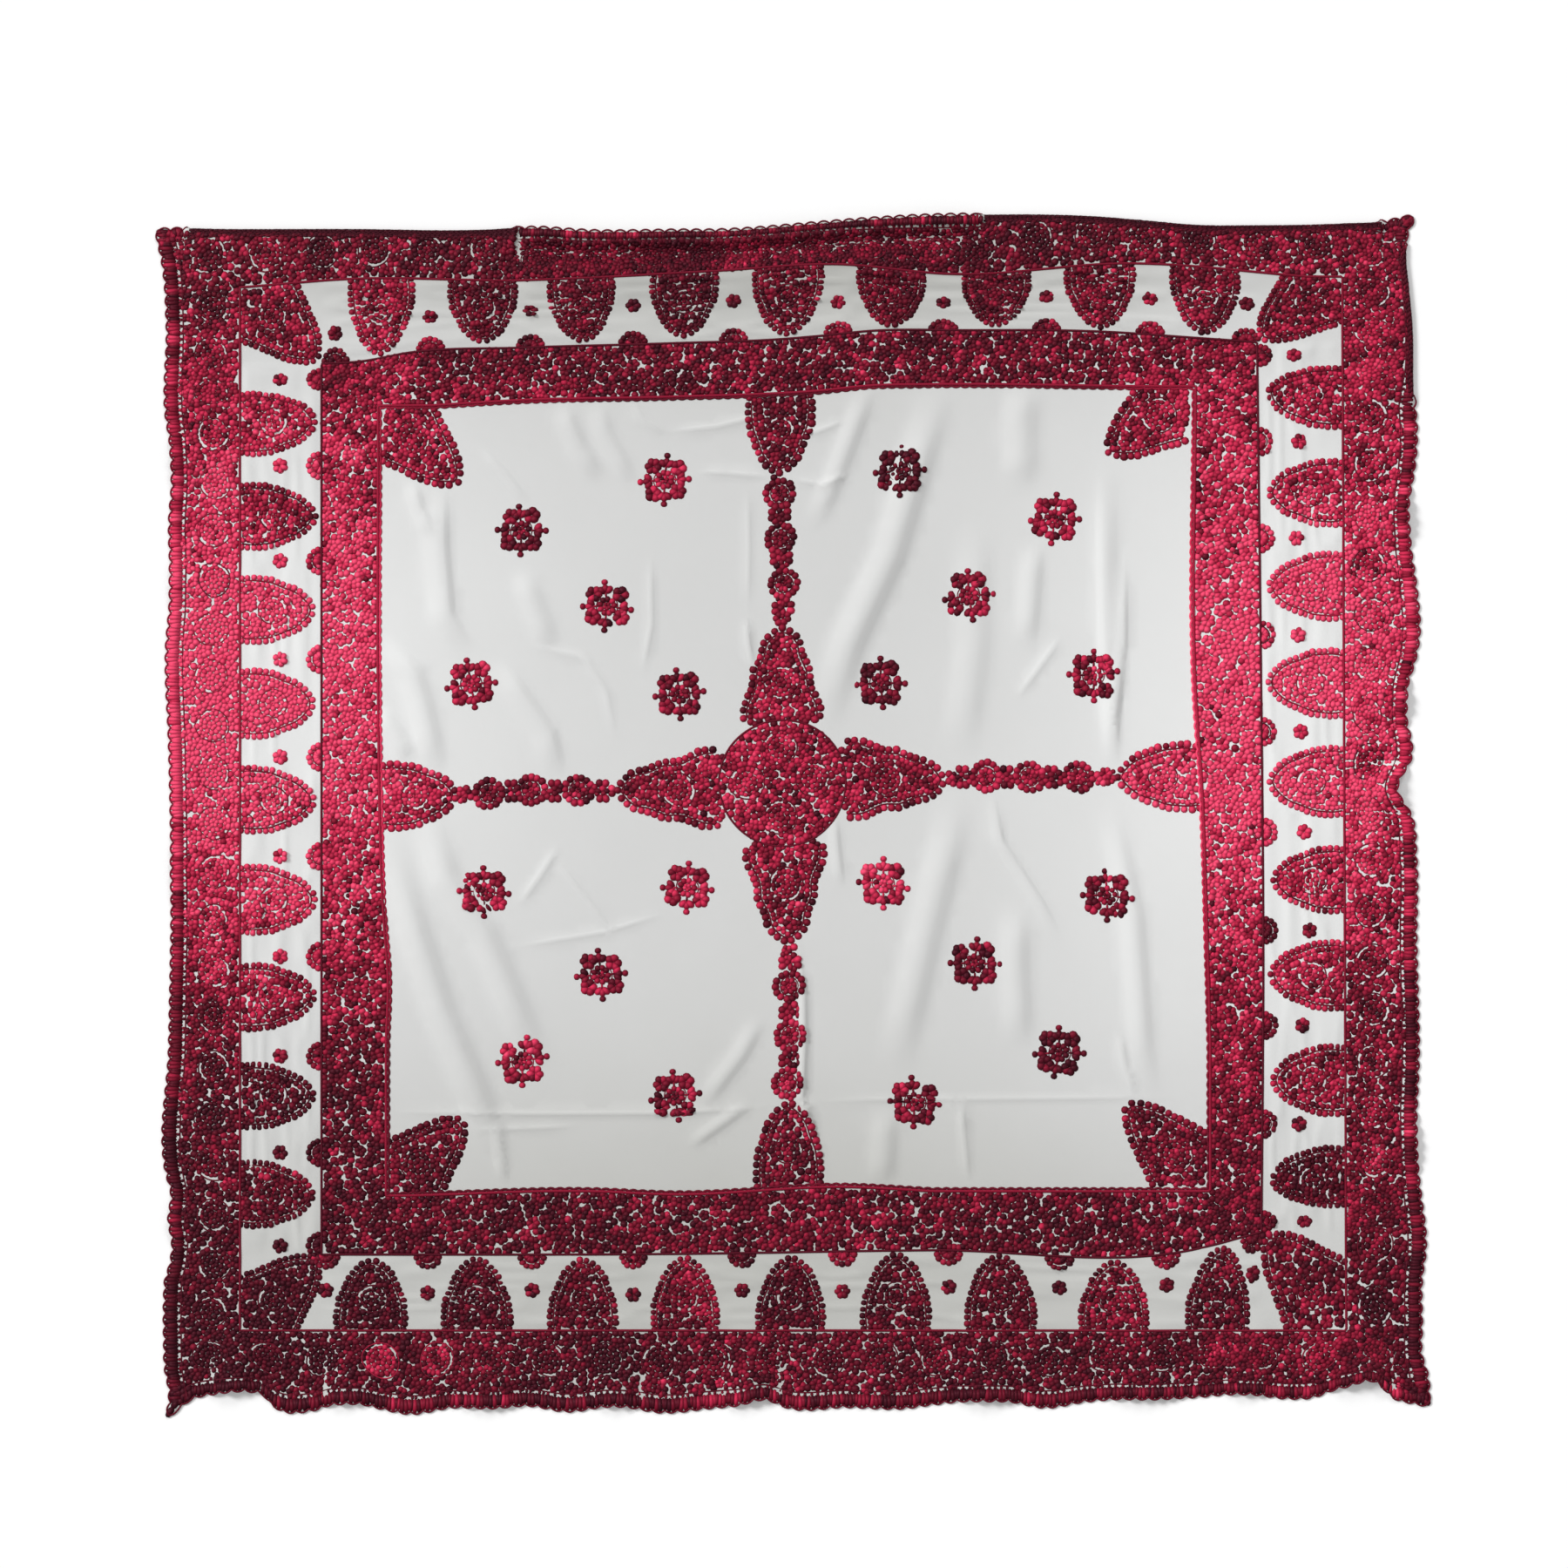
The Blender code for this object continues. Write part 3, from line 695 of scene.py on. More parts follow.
def clear_of_hem(x, y):
    """Which points lie inside the hem and clear of the rows at a turned edge."""
    inside = (y > curve_through(BOTTOM_EDGE, x) + HEM_CLEAR) & (x > curve_through(LEFT_EDGE, y) + HEM_CLEAR)
    for length, past in turned_places(x, y):
        inside &= past < length - HEM_CLEAR
    return inside & ~near_bend(x, y, *BEND_CLEAR)


def cut_cloth():
    """The flat cut: points, and the triangles between them."""
    inner = ring_of_sides(*INNER_RING, False)
    columns, rows = np.meshgrid(spaced(COLUMNS), spaced(ROWS))
    grid = np.stack([columns.ravel(), rows.ravel()], axis=-1)
    folds = fold_points()
    tree = tree_of(folds)
    apart = [tree.find((x, y, 0.0))[2] > FOLD_CLEAR for x, y in grid]
    grid = np.concatenate([grid[apart], folds])
    grid = grid[clear_of_hem(*grid.T)]
    points, edges = [rim], [(i, (i + 1) % len(rim)) for i in range(len(rim))]
    count = len(rim)
    for line in bend_lines():
        edges += [(count + i, count + i + 1) for i in range(len(line) - 1)]
        points.append(line)
        count += len(line)
    flat = [Vector(p) for p in np.concatenate(points + [inner, grid])]
    verts, _, faces, *_ = delaunay_2d_cdt(flat, edges, [list(range(len(rim)))], 1, 1e-5)
    return np.array([tuple(v) for v in verts]), faces


def area_sum(areas, x, y):
    """Adds up broad soft areas at places on the cloth."""
    return sum(lift * np.exp(-((x - area_x) / across) ** 2 - ((y - area_y) / up) ** 2)
               for area_x, area_y, across, up, lift in areas)


def solid_sheet(name, flat, faces, thickness):
    """Lays a flat cut over its folds and gives it a thickness."""
    mesh = bpy.data.meshes.new(name)
    mesh.from_pydata(cloth_point(*flat.T).tolist(), [], faces)
    corner = np.empty(len(mesh.loops), int)
    mesh.loops.foreach_get("vertex_index", corner)
    mesh.uv_layers.new(name="UVMap").data.foreach_set("uv", (flat[corner] * MM).ravel())
    # Painted light and shade of the cotton by place, around its plain level.
    wear = area_sum(PAINTED_LIGHT_AREAS, *flat.T) + PLAIN_COTTON_LEVEL
    mesh.attributes.new("wear", "FLOAT", "POINT").data.foreach_set("value", wear)
    sheet = bpy.data.objects.new(name, mesh)
    bpy.context.scene.collection.objects.link(sheet)
    thicken = sheet.modifiers.new("thickness", "SOLIDIFY")
    thicken.thickness = thickness
    thicken.offset = 0
    return sheet


def made_plain(thing):
    """Turns an object's modifiers into plain mesh."""
    seen_now = thing.evaluated_get(bpy.context.evaluated_depsgraph_get())
    mesh = bpy.data.meshes.new_from_object(seen_now)
    thing.modifiers.clear()
    thing.data = mesh
    mesh.name = thing.name
    mesh.shade_smooth()
    return thing


def triangles(thing):
    """How many triangles a piece has."""
    return sum(len(face.vertices) - 2 for face in thing.data.polygons)


ground = made_plain(solid_sheet("cotton_ground", *cut_cloth(), CLOTH_THICKNESS * MM))
print("cotton ground:", triangles(ground), "triangles")

# %% [markdown]
# ## The stitches
#
# Nearly all of the red is one kind of stitch: a small drop of satin stitch, ten to twelve millimetres
# long and about as wide, like a petal. Lines are worked in stem stitch, which makes a thin cord. A
# maker keeps a list of what goes where, and so does this script: every petal is a row with its
# narrow end, heading, length, width and tone, and every cord is a path. Both are planned in the
# drawing. A simple map of taken places keeps later stitches off earlier ones.

# %% The plan of the work
CELL = 10.0
GAP = -1.2
WIDEST_STITCH = 5.0
# The tone varies from petal to petal and from motif to motif, and a share of the petals is darker.
HAND_TONE = 0.1
MOTIF_TONE = 0.12
DARK_PETALS = 0.12
DARK_PETAL = 0.32
# The two discs that a petal takes up. Columns: share of its length, share of its width.
PETAL_DISCS = ((0.34, 0.34), (0.6, 0.46))
CORD_STEP = 5.5
PATH_STEP = 3.0
# A petal of a row turns and grows a little by hand, and its tone comes and goes along the row.
ROW_SWAY = 0.1
ROW_GROWTH = 0.05
ROW_MOOD = (0.08, 0.55)
# Columns: room that is looked for in front of a petal, the least that it needs.
ROW_ROOM = (4.0, 1.8)
# A place of a moved path that is nearer to the first path than this share is in a loop.
LOOP_SHARE = 0.94
ABOUT_A_TURN = 6.3
# How far the petals of a flower fill its rim, and how far each turns by hand.
FLOWER_FULLNESS = 1.62
FLOWER_SWAY = 0.06

luck = np.random.default_rng(11)
petals = {}
cords = {}
taken = {}
hearts = []


def take(u, v, radius):
    """Marks a place as stitched."""
    taken.setdefault((int(u // CELL), int(v // CELL)), []).append((u, v, radius))


def room_at(u, v, most):
    """How large a disc fits at a place without touching the stitches already there."""
    reach = math.ceil((most + WIDEST_STITCH) / CELL)
    i, j = int(u // CELL), int(v // CELL)
    room = most
    for a in range(i - reach, i + reach + 1):
        for b in range(j - reach, j + reach + 1):
            for x, y, radius in taken.get((a, b), ()):
                away = abs(x - u)
                if away - radius < room:
                    room = min(room, math.hypot(away, y - v) - radius)
    return room


def onward(u, v, heading, distance):
    """The place at a distance from another, in one direction."""
    return u + distance * math.cos(heading), v + distance * math.sin(heading)


def petal(piece, u, v, heading, length, width, tone, drawn=1):
    """One petal from its narrow end. Drawn is 1 in the drawing and 0 on the flat cloth."""
    tone = tone + HAND_TONE * luck.standard_normal() - DARK_PETAL * (luck.random() < DARK_PETALS)
    petals.setdefault(piece, []).append((u, v, heading, length, width, tone, drawn))
    if drawn:
        for along, wide in PETAL_DISCS:
            take(*onward(u, v, heading, along * length), wide * width)


def resampled(path, step):
    """The same path with points at even steps."""
    path = np.array(path, float)
    run = np.concatenate([[0], np.cumsum(np.hypot(*np.diff(path, axis=0).T))])
    at = np.linspace(0, run[-1], max(2, round(run[-1] / step) + 1))
    return np.stack([np.interp(at, run, path[:, k]) for k in (0, 1)], axis=-1)


def cord(piece, path, width, tone, step=CORD_STEP, drawn=1):
    """A stem stitch line along a path."""
    cords.setdefault(piece, []).append((resampled(path, step), width, tone, drawn))
    if drawn:
        for u, v in resampled(path, PATH_STEP):
            take(u, v, width / 2 + GAP)


def arc(u, v, radius, start=0.0, sweep=360.0, wobble=0.05):
    """Part of a circle as a hand draws it, clockwise, so that its left side is outside."""
    turn = np.radians(start) - np.linspace(0, math.radians(sweep), max(9, round(radius * sweep / 90)))
    a, b = luck.uniform(0, 2 * np.pi, 2)
    r = radius * (1 + wobble * (0.6 * np.cos(2 * turn + a) + 0.4 * np.cos(3 * turn + b)))
    return np.stack([u + r * np.cos(turn), v + r * np.sin(turn)], axis=-1)


def beside(path, distance):
    """The path at a distance to the left of another, without the loops at tight bends."""
    path = resampled(path, PATH_STEP)
    run = np.gradient(path, axis=0)
    run /= np.linalg.norm(run, axis=1, keepdims=True)
    moved = path + distance * np.stack([-run[:, 1], run[:, 0]], axis=-1)
    gap = np.linalg.norm(moved[:, None] - path[None], axis=2).min(axis=1)
    return moved[gap > abs(distance) * LOOP_SHARE]


def petal_row(piece, path, spacing, length, width, tone, needs_room=False):
    """Petals that stand side by side on a path and point to its left."""
    points = resampled(path, spacing)
    run = np.gradient(points, axis=0)
    closed = np.hypot(*(points[0] - points[-1])) < spacing / 2
    mood = luck.uniform(0, ABOUT_A_TURN)
    for k, ((u, v), (du, dv)) in enumerate(zip(points, run)):
        if closed and k == len(points) - 1:
            continue
        heading = math.atan2(du, -dv) + ROW_SWAY * luck.standard_normal()
        front = onward(u, v, heading, PETAL_DISCS[1][0] * length)
        if needs_room and room_at(*front, ROW_ROOM[0]) < ROW_ROOM[1]:
            continue
        stretch = 1 + ROW_GROWTH * luck.standard_normal()
        shade = tone + ROW_MOOD[0] * math.sin(k * ROW_MOOD[1] + mood)
        petal(piece, u, v, heading, length * stretch, width * stretch, shade)


def flower(piece, u, v, radius, count, tone, turn=None, core=0.02):
    """Petals round a centre."""
    turn = luck.uniform(0, ABOUT_A_TURN) if turn is None else turn
    hearts.append((u, v))
    width = min(radius, FLOWER_FULLNESS * math.pi * radius / count)
    for k in range(count):
        heading = turn + 2 * math.pi * k / count + FLOWER_SWAY * luck.standard_normal()
        start = core * radius
        petal(piece, *onward(u, v, heading, start), heading, radius - start, width, tone)


print("the plan is open; petals may run", -GAP, "mm under a cord")

# %% [markdown]
# The wide borders have no strict repeat. A maker fills them by eye: flowers of five or six petals
# where there is room, then single petals in what is left, until only crumbs of white show. Fill
# does the same. It sets flowers where the map of taken places has room, spreads places for single
# petals over the rest, and lets them settle: each place moves away from what it touches, a little
# at a time, as a hand that looks for the next free spot would. The petals look away from the
# nearest flower.

# %% Filling a patch
FLOWER_STEP = 8.0
FLOWER_ROOM = (8.4, 11.4)
PETAL_STEP = 7.0
PETAL_ROOM = 3.75
PETAL_LEAST = 1.7
PETAL_SIZE = (11.9, 11.6)
GAP_STEP = 3.0
GAP_ROOM = 1.2
SETTLE_ROUNDS = 12
# How strongly a place moves off its neighbours, off the stitches, and in each round.
APART = 0.5
OFF_STITCHES = 0.7
EACH_ROUND = 0.6
LEAST_AWAY = 0.1
HEART_REACH = 44.0


def loose_grid(low, high, step):
    """Places spread loosely over a box, in a shuffled order."""
    columns, rows = np.meshgrid(np.arange(low[0], high[0], step), np.arange(low[1], high[1], step * 0.87))
    columns = columns + (np.arange(len(columns)) % 2)[:, None] * step / 2
    places = np.stack([columns.ravel(), rows.ravel()], axis=-1)
    places += luck.uniform(-0.3, 0.3, places.shape) * step
    return luck.permutation(places)


def stitches_near(low, high):
    """The stitched discs in a box and a little round it."""
    columns = range(int(low[0] // CELL) - 1, int(high[0] // CELL) + 2)
    rows = range(int(low[1] // CELL) - 1, int(high[1] // CELL) + 2)
    return [disc for a in columns for b in rows for disc in taken.get((a, b), ())]


def settle(places, discs):
    """Moves places apart, and off the stitched discs, until they stand evenly."""
    disc_tree = tree_of(discs)
    widest = max((disc[2] for disc in discs), default=0.0)
    for _ in range(SETTLE_ROUNDS):
        tree = tree_of(places)
        push = np.zeros_like(places)
        for k, (u, v) in enumerate(places):
            for (x, y, _), j, away in tree.find_range((u, v, 0.0), 2 * PETAL_ROOM):
                if j != k:
                    share = APART * (2 * PETAL_ROOM - away) / max(away, LEAST_AWAY)
                    push[k] += share * (u - x), share * (v - y)
            for (x, y, _), j, away in disc_tree.find_range((u, v, 0.0), PETAL_ROOM + widest):
                overlap = PETAL_ROOM + discs[j][2] - away
                if overlap > 0:
                    share = OFF_STITCHES * overlap / max(away, LEAST_AWAY)
                    push[k] += share * (u - x), share * (v - y)
        places = places + EACH_ROUND * push
    return places


def within(path, places):
    """Which places lie inside a closed path."""
    inside = np.zeros(len(places), bool)
    u, v = places.T
    for (u0, v0), (u1, v1) in zip(path, np.roll(path, -1, 0)):
        if v0 != v1:
            crossing = (v0 > v) != (v1 > v)
            inside ^= crossing & (u < (u1 - u0) * (v - v0) / (v1 - v0) + u0)
    return inside


def single(piece, u, v, heading, grow, tone):
    """One petal round its own middle."""
    length, width = PETAL_SIZE[0] * grow, PETAL_SIZE[1] * grow
    petal(piece, *onward(u, v, heading, -0.55 * length), heading, length, width, tone)


def fill(piece, low, high, inside, tone=0.0, spread=0.08):
    """Packs a patch with flowers, and with single petals between them."""
    places = loose_grid(low, high, FLOWER_STEP)
    for u, v in places[inside(places)]:
        room = room_at(u, v, FLOWER_ROOM[1])
        if room > FLOWER_ROOM[0]:
            flower(piece, u, v, room, 6 if room > 10.6 else 5, tone + spread * luck.standard_normal())
            if luck.random() < 0.3:
                start = luck.uniform(0, 360)
                for x, y in resampled(arc(u, v, room + 1.2, start, 150), 1.6):
                    take(x, y, 0.8)
    places = loose_grid(low, high, PETAL_STEP)
    places = places[inside(places)]
    places = places[[room_at(u, v, 3.0) > 1.0 for u, v in places]]
    if len(places) == 0:
        return
    places = settle(places, stitches_near(low, high))
    hearts_here = tree_of(hearts)
    for u, v in places[inside(places)]:
        if room_at(u, v, PETAL_ROOM) > PETAL_LEAST:
            (x, y, _), _, away = hearts_here.find((u, v, 0.0))
            heading = math.atan2(v - y, u - x) if away < HEART_REACH else luck.uniform(0, 2 * math.pi)
            heading += 0.35 * luck.standard_normal()
            single(piece, u, v, heading, 1 + 0.05 * luck.standard_normal(),
                   tone + spread * luck.standard_normal())
    places = loose_grid(low, high, GAP_STEP)
    for u, v in places[inside(places)]:
        room = room_at(u, v, PETAL_ROOM)
        if room > GAP_ROOM:
            single(piece, u, v, luck.uniform(0, 2 * math.pi), (room + 1.9) / (PETAL_ROOM + 1),
                   tone + spread * luck.standard_normal())


def fill_path(piece, path, tone=0.0, besides=None):
    """Packs the inside of a closed path."""
    test = (lambda p: within(path, p)) if besides is None else (lambda p: within(path, p) & besides(p))
    fill(piece, path.min(axis=0), path.max(axis=0), test, tone)


def metres_of(rows):
    """The length of all the cords of a list."""
    return round(sum(np.hypot(*np.diff(path, axis=0).T).sum() for path, *_ in rows) / 1000, 1)


def depth_in(lines, places):
    """How far places lie inside a ruled rectangle."""
    u, v = places.T
    return np.minimum(np.minimum(u - lines["left"], lines["right"] - u),
                      np.minimum(v - lines["bottom"], lines["top"] - v))


def frame_between(outer, inner, outer_inset, inner_inset):
    """The test for a border: inside one rectangle and outside another."""
    return lambda places: (depth_in(inner, places) < -inner_inset) & (depth_in(outer, places) > outer_inset)


print("a single petal is", PETAL_SIZE[0], "mm long and", PETAL_SIZE[1], "mm wide")

# %% [markdown]
# ## Ruled lines
#
# Three lines frame the work: the stem line inside the outer border, the outer line of the second
# border, and its inner line, which is a thick cord with small bumps towards the field.

# %% Stem lines and the bumped line
STEM_WIDTH = 3.7
THIN_WIDTH = 2.6
DARK = -0.34
BUMP_PITCH = 14.7
BUMP_DEPTH = 2.8
BUMP_WIDTH = 4.4


def rectangle(sides, inset=0.0):
    """The four sides of a ruled rectangle as a closed path, clockwise, left side out."""
    left, right = sides["left"] + inset, sides["right"] - inset
    bottom, top = sides["bottom"] + inset, sides["top"] - inset
    return np.array([(left, bottom), (left, top), (right, top), (right, bottom), (left, bottom)], float)


def bumped(path, pitch, depth):
    """A path with rounded bumps on its right side."""
    points = resampled(path, pitch / 4)
    run = np.gradient(points, axis=0)
    run /= np.linalg.norm(run, axis=1, keepdims=True)
    rise = depth * np.abs(np.sin(np.pi * np.arange(len(points)) / 4)) ** ROUNDNESS
    return points + rise[:, None] * np.stack([run[:, 1], -run[:, 0]], axis=-1)


cord("stem_lines", rectangle(STEM), STEM_WIDTH + 0.6, -0.22)
cord("stem_lines", rectangle(OUTER), STEM_WIDTH + 0.4, DARK - 0.1)
cord("stem_lines", bumped(rectangle(INNER), BUMP_PITCH, BUMP_DEPTH), BUMP_WIDTH, -0.06, BUMP_PITCH / 4)
cord("stem_lines", rectangle(INNER, -2.2), BUMP_WIDTH + 0.4, -0.12)
print("ruled lines:", metres_of(cords["stem_lines"]), "m of cord")

# %% [markdown]
# ## Motifs
#
# The same few shapes come back all over the throw: a ring of cord with petals inside it, a rosette
# with petals outside it, and a leaf. A leaf has a rim of petals, a dark line inside the rim, a
# second row of petals, a ring in the middle and small scrolls at its foot. Its outline is a table
# of half widths from the foot to the tip.

# %% Rings, rosettes and leaves
# The rim of a leaf. Columns: length and width of a petal, and how far apart the petals stand.
MARGIN_RIM = (10.4, 9.8, 9.4)
FIELD_RIM = (12.0, 11.6, 11.2)
INNER_ROW = (9.2, 9.6, 7.8)
RING = 27.3
# The rows of a packed disc: the lengths of their petals from the outside in, their pitch and width.
DISC_ROWS = (10.2, 9.2)
DISC_PITCH = 7.9
DISC_WIDTH = 9.4
# In two places of a ring the outer row is held back by so much, as far as the cosine to them allows.
WHITE_ARC = 3.3
WHITE_FROM = 0.5

# Columns: share of the length, half width.
MARGIN_LEAF = (
    (0, 56), (0.12, 58), (0.27, 57), (0.43, 54), (0.52, 49.5), (0.6, 45.5), (0.72, 40), (0.82, 32.5),
    (0.92, 20.5), (0.98, 9), (1, 0),
)
CORNER_LEAF = ((0, 6), (0.15, 36), (0.31, 64), (0.5, 56), (0.62, 48), (0.74, 40), (0.88, 25), (0.96, 11),
               (1, 0))
MEDALLION_LEAF = (
    (0, 60), (0.09, 67), (0.25, 66), (0.33, 60), (0.4, 54), (0.48, 52), (0.56, 52), (0.64, 46), (0.74, 39),
    (0.81, 37), (0.88, 31), (0.95, 19), (0.985, 9), (1, 0),
)


def packed_disc(piece, u, v, radius, tone, white_arcs=False):
    """Rows of petals that look outwards, round a flower."""
    white = luck.uniform(0, 2 * math.pi, 2)
    reach = radius
    for length in DISC_ROWS:
        foot = reach - length
        count = round(2 * math.pi * (foot + 0.55 * length) / DISC_PITCH)
        start = luck.uniform(0, 2 * math.pi)
        for turn in start + 2 * math.pi * np.arange(count) / count:
            at_white = white_arcs and reach == radius and np.cos(turn - white).max() > WHITE_FROM
            held_back = WHITE_ARC if at_white else 0.0
            heading = turn + 0.08 * luck.standard_normal()
            petal(piece, *onward(u, v, turn, foot), heading, length - held_back, DISC_WIDTH, tone)
        reach = foot + 0.9
        if reach < 12:
            break
    flower(piece, u, v, reach, 6 if reach > 10.5 else 5, tone + MOTIF_TONE * luck.standard_normal())


def ring(piece, u, v, radius, tone=0.0):
    """A ring of cord packed with petals, with a thin white line inside it in places."""
    cord("stem_lines", arc(u, v, radius), THIN_WIDTH, DARK + tone, min(5.0, radius / 5))
    packed_disc(piece, u, v, radius - 1.4, tone, True)


def rosette(piece, u, v, radius, tone=0.0):
    """A packed disc inside a thin ring, with a rim of petals outside it."""
    length, width, _ = FIELD_RIM
    foot = radius - length
    cord("stem_lines", arc(u, v, foot - 0.6), THIN_WIDTH - 0.4, DARK + tone, 3.6)
    packed_disc(piece, u, v, foot - 1.2, tone)
    petal_row(piece, arc(u, v, foot, luck.uniform(0, 360)), 2 * math.pi * foot / 14, length, width, tone)


def placed(points, u, v, heading):
    """Points given along and across a motif, set into the drawing."""
    along, across = np.array(points, float).T
    c, s = math.cos(heading), math.sin(heading)
    return np.stack([u + along * c - across * s, v + along * s + across * c], axis=-1)


def leaf_path(rows, length, widen, start=0.0):
    """A leaf's outline, up one side and down the other, with its left side out."""
    share = np.linspace(start, 1, 44)
    width = widen * np.maximum(curve_through(rows, share), 0)
    up = np.stack([share * length, width], axis=-1)
    return np.concatenate([up, (up * (1, -1))[-2::-1]])


def leaf(piece, u, v, heading, length, rows, rim=MARGIN_RIM, widen=1.0, rim_from=0.0, ring_share=0.42,
         ring_radius=23.0, tone=0.0, scrolls=True, clear=None):
    """A whole leaf, from the middle of its foot."""
    outline = placed(leaf_path(rows, length, widen), u, v, heading)
    rim_line = placed(leaf_path(rows, length, widen, rim_from), u, v, heading)
    rim_length, rim_width, spacing = rim
    petal_row(piece, beside(rim_line, -rim_length), spacing, rim_length, rim_width, tone)
    cord("stem_lines", beside(rim_line, 0.2 - rim_length), THIN_WIDTH + 0.3, DARK + tone)
    (x, y), = placed([(ring_share * length, 0)], u, v, heading)
    ring(piece, x, y, ring_radius, tone)
    if scrolls:
        foot = np.interp(0.1, *np.array(rows).T) * widen - 24
        for side in (-1, 1):
            (x, y), = placed([(11, side * foot)], u, v, heading)
            cord("stem_lines", arc(x, y, 8.5, luck.uniform(0, 360), 250), THIN_WIDTH - 0.3, DARK + tone, 3.0)
    row_length, row_width, spacing = INNER_ROW
    petal_row(piece, beside(rim_line, -rim_length - 1.4 - row_length), spacing, row_length, row_width, tone,
              needs_room=True)
    fill_path(piece, beside(outline, -rim_length), tone, clear)


print("a margin leaf is", 2 * MARGIN_LEAF[1][1], "mm wide; a ring is", 2 * RING, "mm across")

# %% [markdown]
# ## The outer border
#
# Rings stand in a row all round, with one in each corner. Between and around them the border is
# filled by eye. In the real piece the rings are about eighty millimetres apart at the sides and a
# little more at the top and bottom.

# %% The outer border
HEM_WIDTH = 23.0
SIDE_RINGS = 24
LEVEL_RINGS = 22


def middle_of(side):
    """The drawn line half way between the stem line and the dashed line of the hem."""
    inward = 1 if side in ("left", "bottom") else -1
    return (EDGE[side] + inward * (HEM_WIDTH + 2) + STEM[side]) / 2




def border_ring(u, v, across, up):
    """A ring of the border, up to so far off its place."""
    place = u + luck.uniform(-across, across), v + luck.uniform(-up, up)
    ring("border_rings", *place, RING + luck.uniform(-1, 1), MOTIF_TONE * luck.standard_normal())


for v in (middle_of("bottom"), middle_of("top")):
    for u in np.linspace(middle_of("left"), middle_of("right"), LEVEL_RINGS):
        border_ring(u, v, 3, 2)
for u in (middle_of("left"), middle_of("right")):
    for v in np.linspace(middle_of("bottom"), middle_of("top"), SIDE_RINGS)[1:-1]:
        border_ring(u, v, 2, 3)
fill("outer_border", (EDGE["left"], EDGE["bottom"]), (EDGE["right"], EDGE["top"]),
     frame_between(EDGE, STEM, HEM_WIDTH + 2, 4.0))
print("outer border:", len(petals["border_rings"]), "petals in rings,", len(petals["outer_border"]),
      "between them")

# %% [markdown]
# ## The margin
#
# Leaves point inwards from the stem line all round, with one leaf on the slant in each corner.
# Between them stand small flowers, and opposite each flower half a rosette grows out of the second
# border. Their places are uneven in the real piece, so they are read off the photograph.

# %% Leaves and flowers of the margin
LEAF_PLACES = {
    "top": (437, 554, 667, 786, 905, 1023, 1144, 1262, 1382),
    "bottom": (426, 548, 669, 787, 907, 1028, 1149, 1278, 1399),
    "left": (484, 593, 700, 808, 918, 1033, 1145, 1258, 1370),
    "right": (453, 566, 673, 785, 897, 1010, 1120, 1240, 1355),
}
FLOWER_PLACES = {
    "top": ((385, 383), (494, 364), (609, 357), (727, 351), (842, 346), (962, 347), (1083, 348), (1201, 341),
            (1320, 343), (1431, 349)),
    "bottom": ((374, 1481), (491, 1484), (611, 1481), (727, 1486), (852, 1481), (967, 1482), (1089, 1477),
               (1216, 1478), (1339, 1475), (1438, 1462)),
    "left": ((322, 436), (322, 535), (322, 644), (322, 757), (322, 869), (322, 983), (322, 1098),
             (322, 1212), (322, 1323), (322, 1430)),
    "right": ((1485, 408), (1491, 507), (1488, 618), (1490, 729), (1493, 840), (1497, 955), (1503, 1068),
              (1495, 1177), (1491, 1290), (1497, 1402)),
}
MARGIN_MIDDLE = {"top": 358, "bottom": 1480, "left": 322, "right": 1491}
LEAF_LENGTH = 123.0
INWARD = {"top": -90, "bottom": 90, "left": 0, "right": 180}
# Half a rosette: the radius of its cord, and the turns and size of the petals inside it.
HALF_ROSETTE = 13.4
HALF_TURNS = (-70, -35, 0, 35, 70)
HALF_FAN = (12.2, 10.4)
# Its rim: where the petals stand, and in columns how far apart, their length and their width.
HALF_RIM_FOOT = 14.0
HALF_RIM = (6.5, 10.2, 10.2)


def on_line(side, place, lines, inset=0.0):
    """A point on a ruled line, at a place along it, moved towards the middle of the cloth."""
    line = lines[side] + (inset if side in ("left", "bottom") else -inset)
    return (place, line) if side in ("top", "bottom") else (line, place)


def half_rosette(piece, u, v, heading, tone):
    """Half of a rosette that grows out of a line."""
    degrees = math.degrees(heading)
    for sway in HALF_TURNS:
        turn = heading + math.radians(sway)
        petal(piece, *onward(u, v, turn, 1.0), turn, *HALF_FAN, tone)
    cord("stem_lines", arc(u, v, HALF_ROSETTE, degrees + 88, 176, 0.03), THIN_WIDTH - 0.4, DARK + tone, 3.6)
    petal_row(piece, arc(u, v, HALF_RIM_FOOT, degrees + 80, 160, 0.03), *HALF_RIM, tone)


for side, places in LEAF_PLACES.items():
    level = side in ("top", "bottom")
    for place in places:
        u, v = seen(place, MARGIN_MIDDLE[side]) if level else seen(MARGIN_MIDDLE[side], place)
        foot = on_line(side, u if level else v, STEM, 2.0)
        leaf("margin_leaves", *foot, math.radians(INWARD[side] + luck.uniform(-1.5, 1.5)),
             LEAF_LENGTH + luck.uniform(-4, 2), MARGIN_LEAF,
             widen=luck.uniform(0.96, 1.02), tone=0.08 * luck.standard_normal())
for across in ("left", "right"):
    for down in ("bottom", "top"):
        foot, tip = np.array((STEM[across], STEM[down])), np.array((OUTER[across], OUTER[down]))
        run = tip - foot
        leaf("margin_leaves", *foot, math.atan2(run[1], run[0]), math.hypot(*run) - 2, CORNER_LEAF,
             widen=1.04, rim_from=0.34,
             ring_share=0.4, ring_radius=24.0, scrolls=False,
             clear=lambda places: depth_in(STEM, places) > 3)
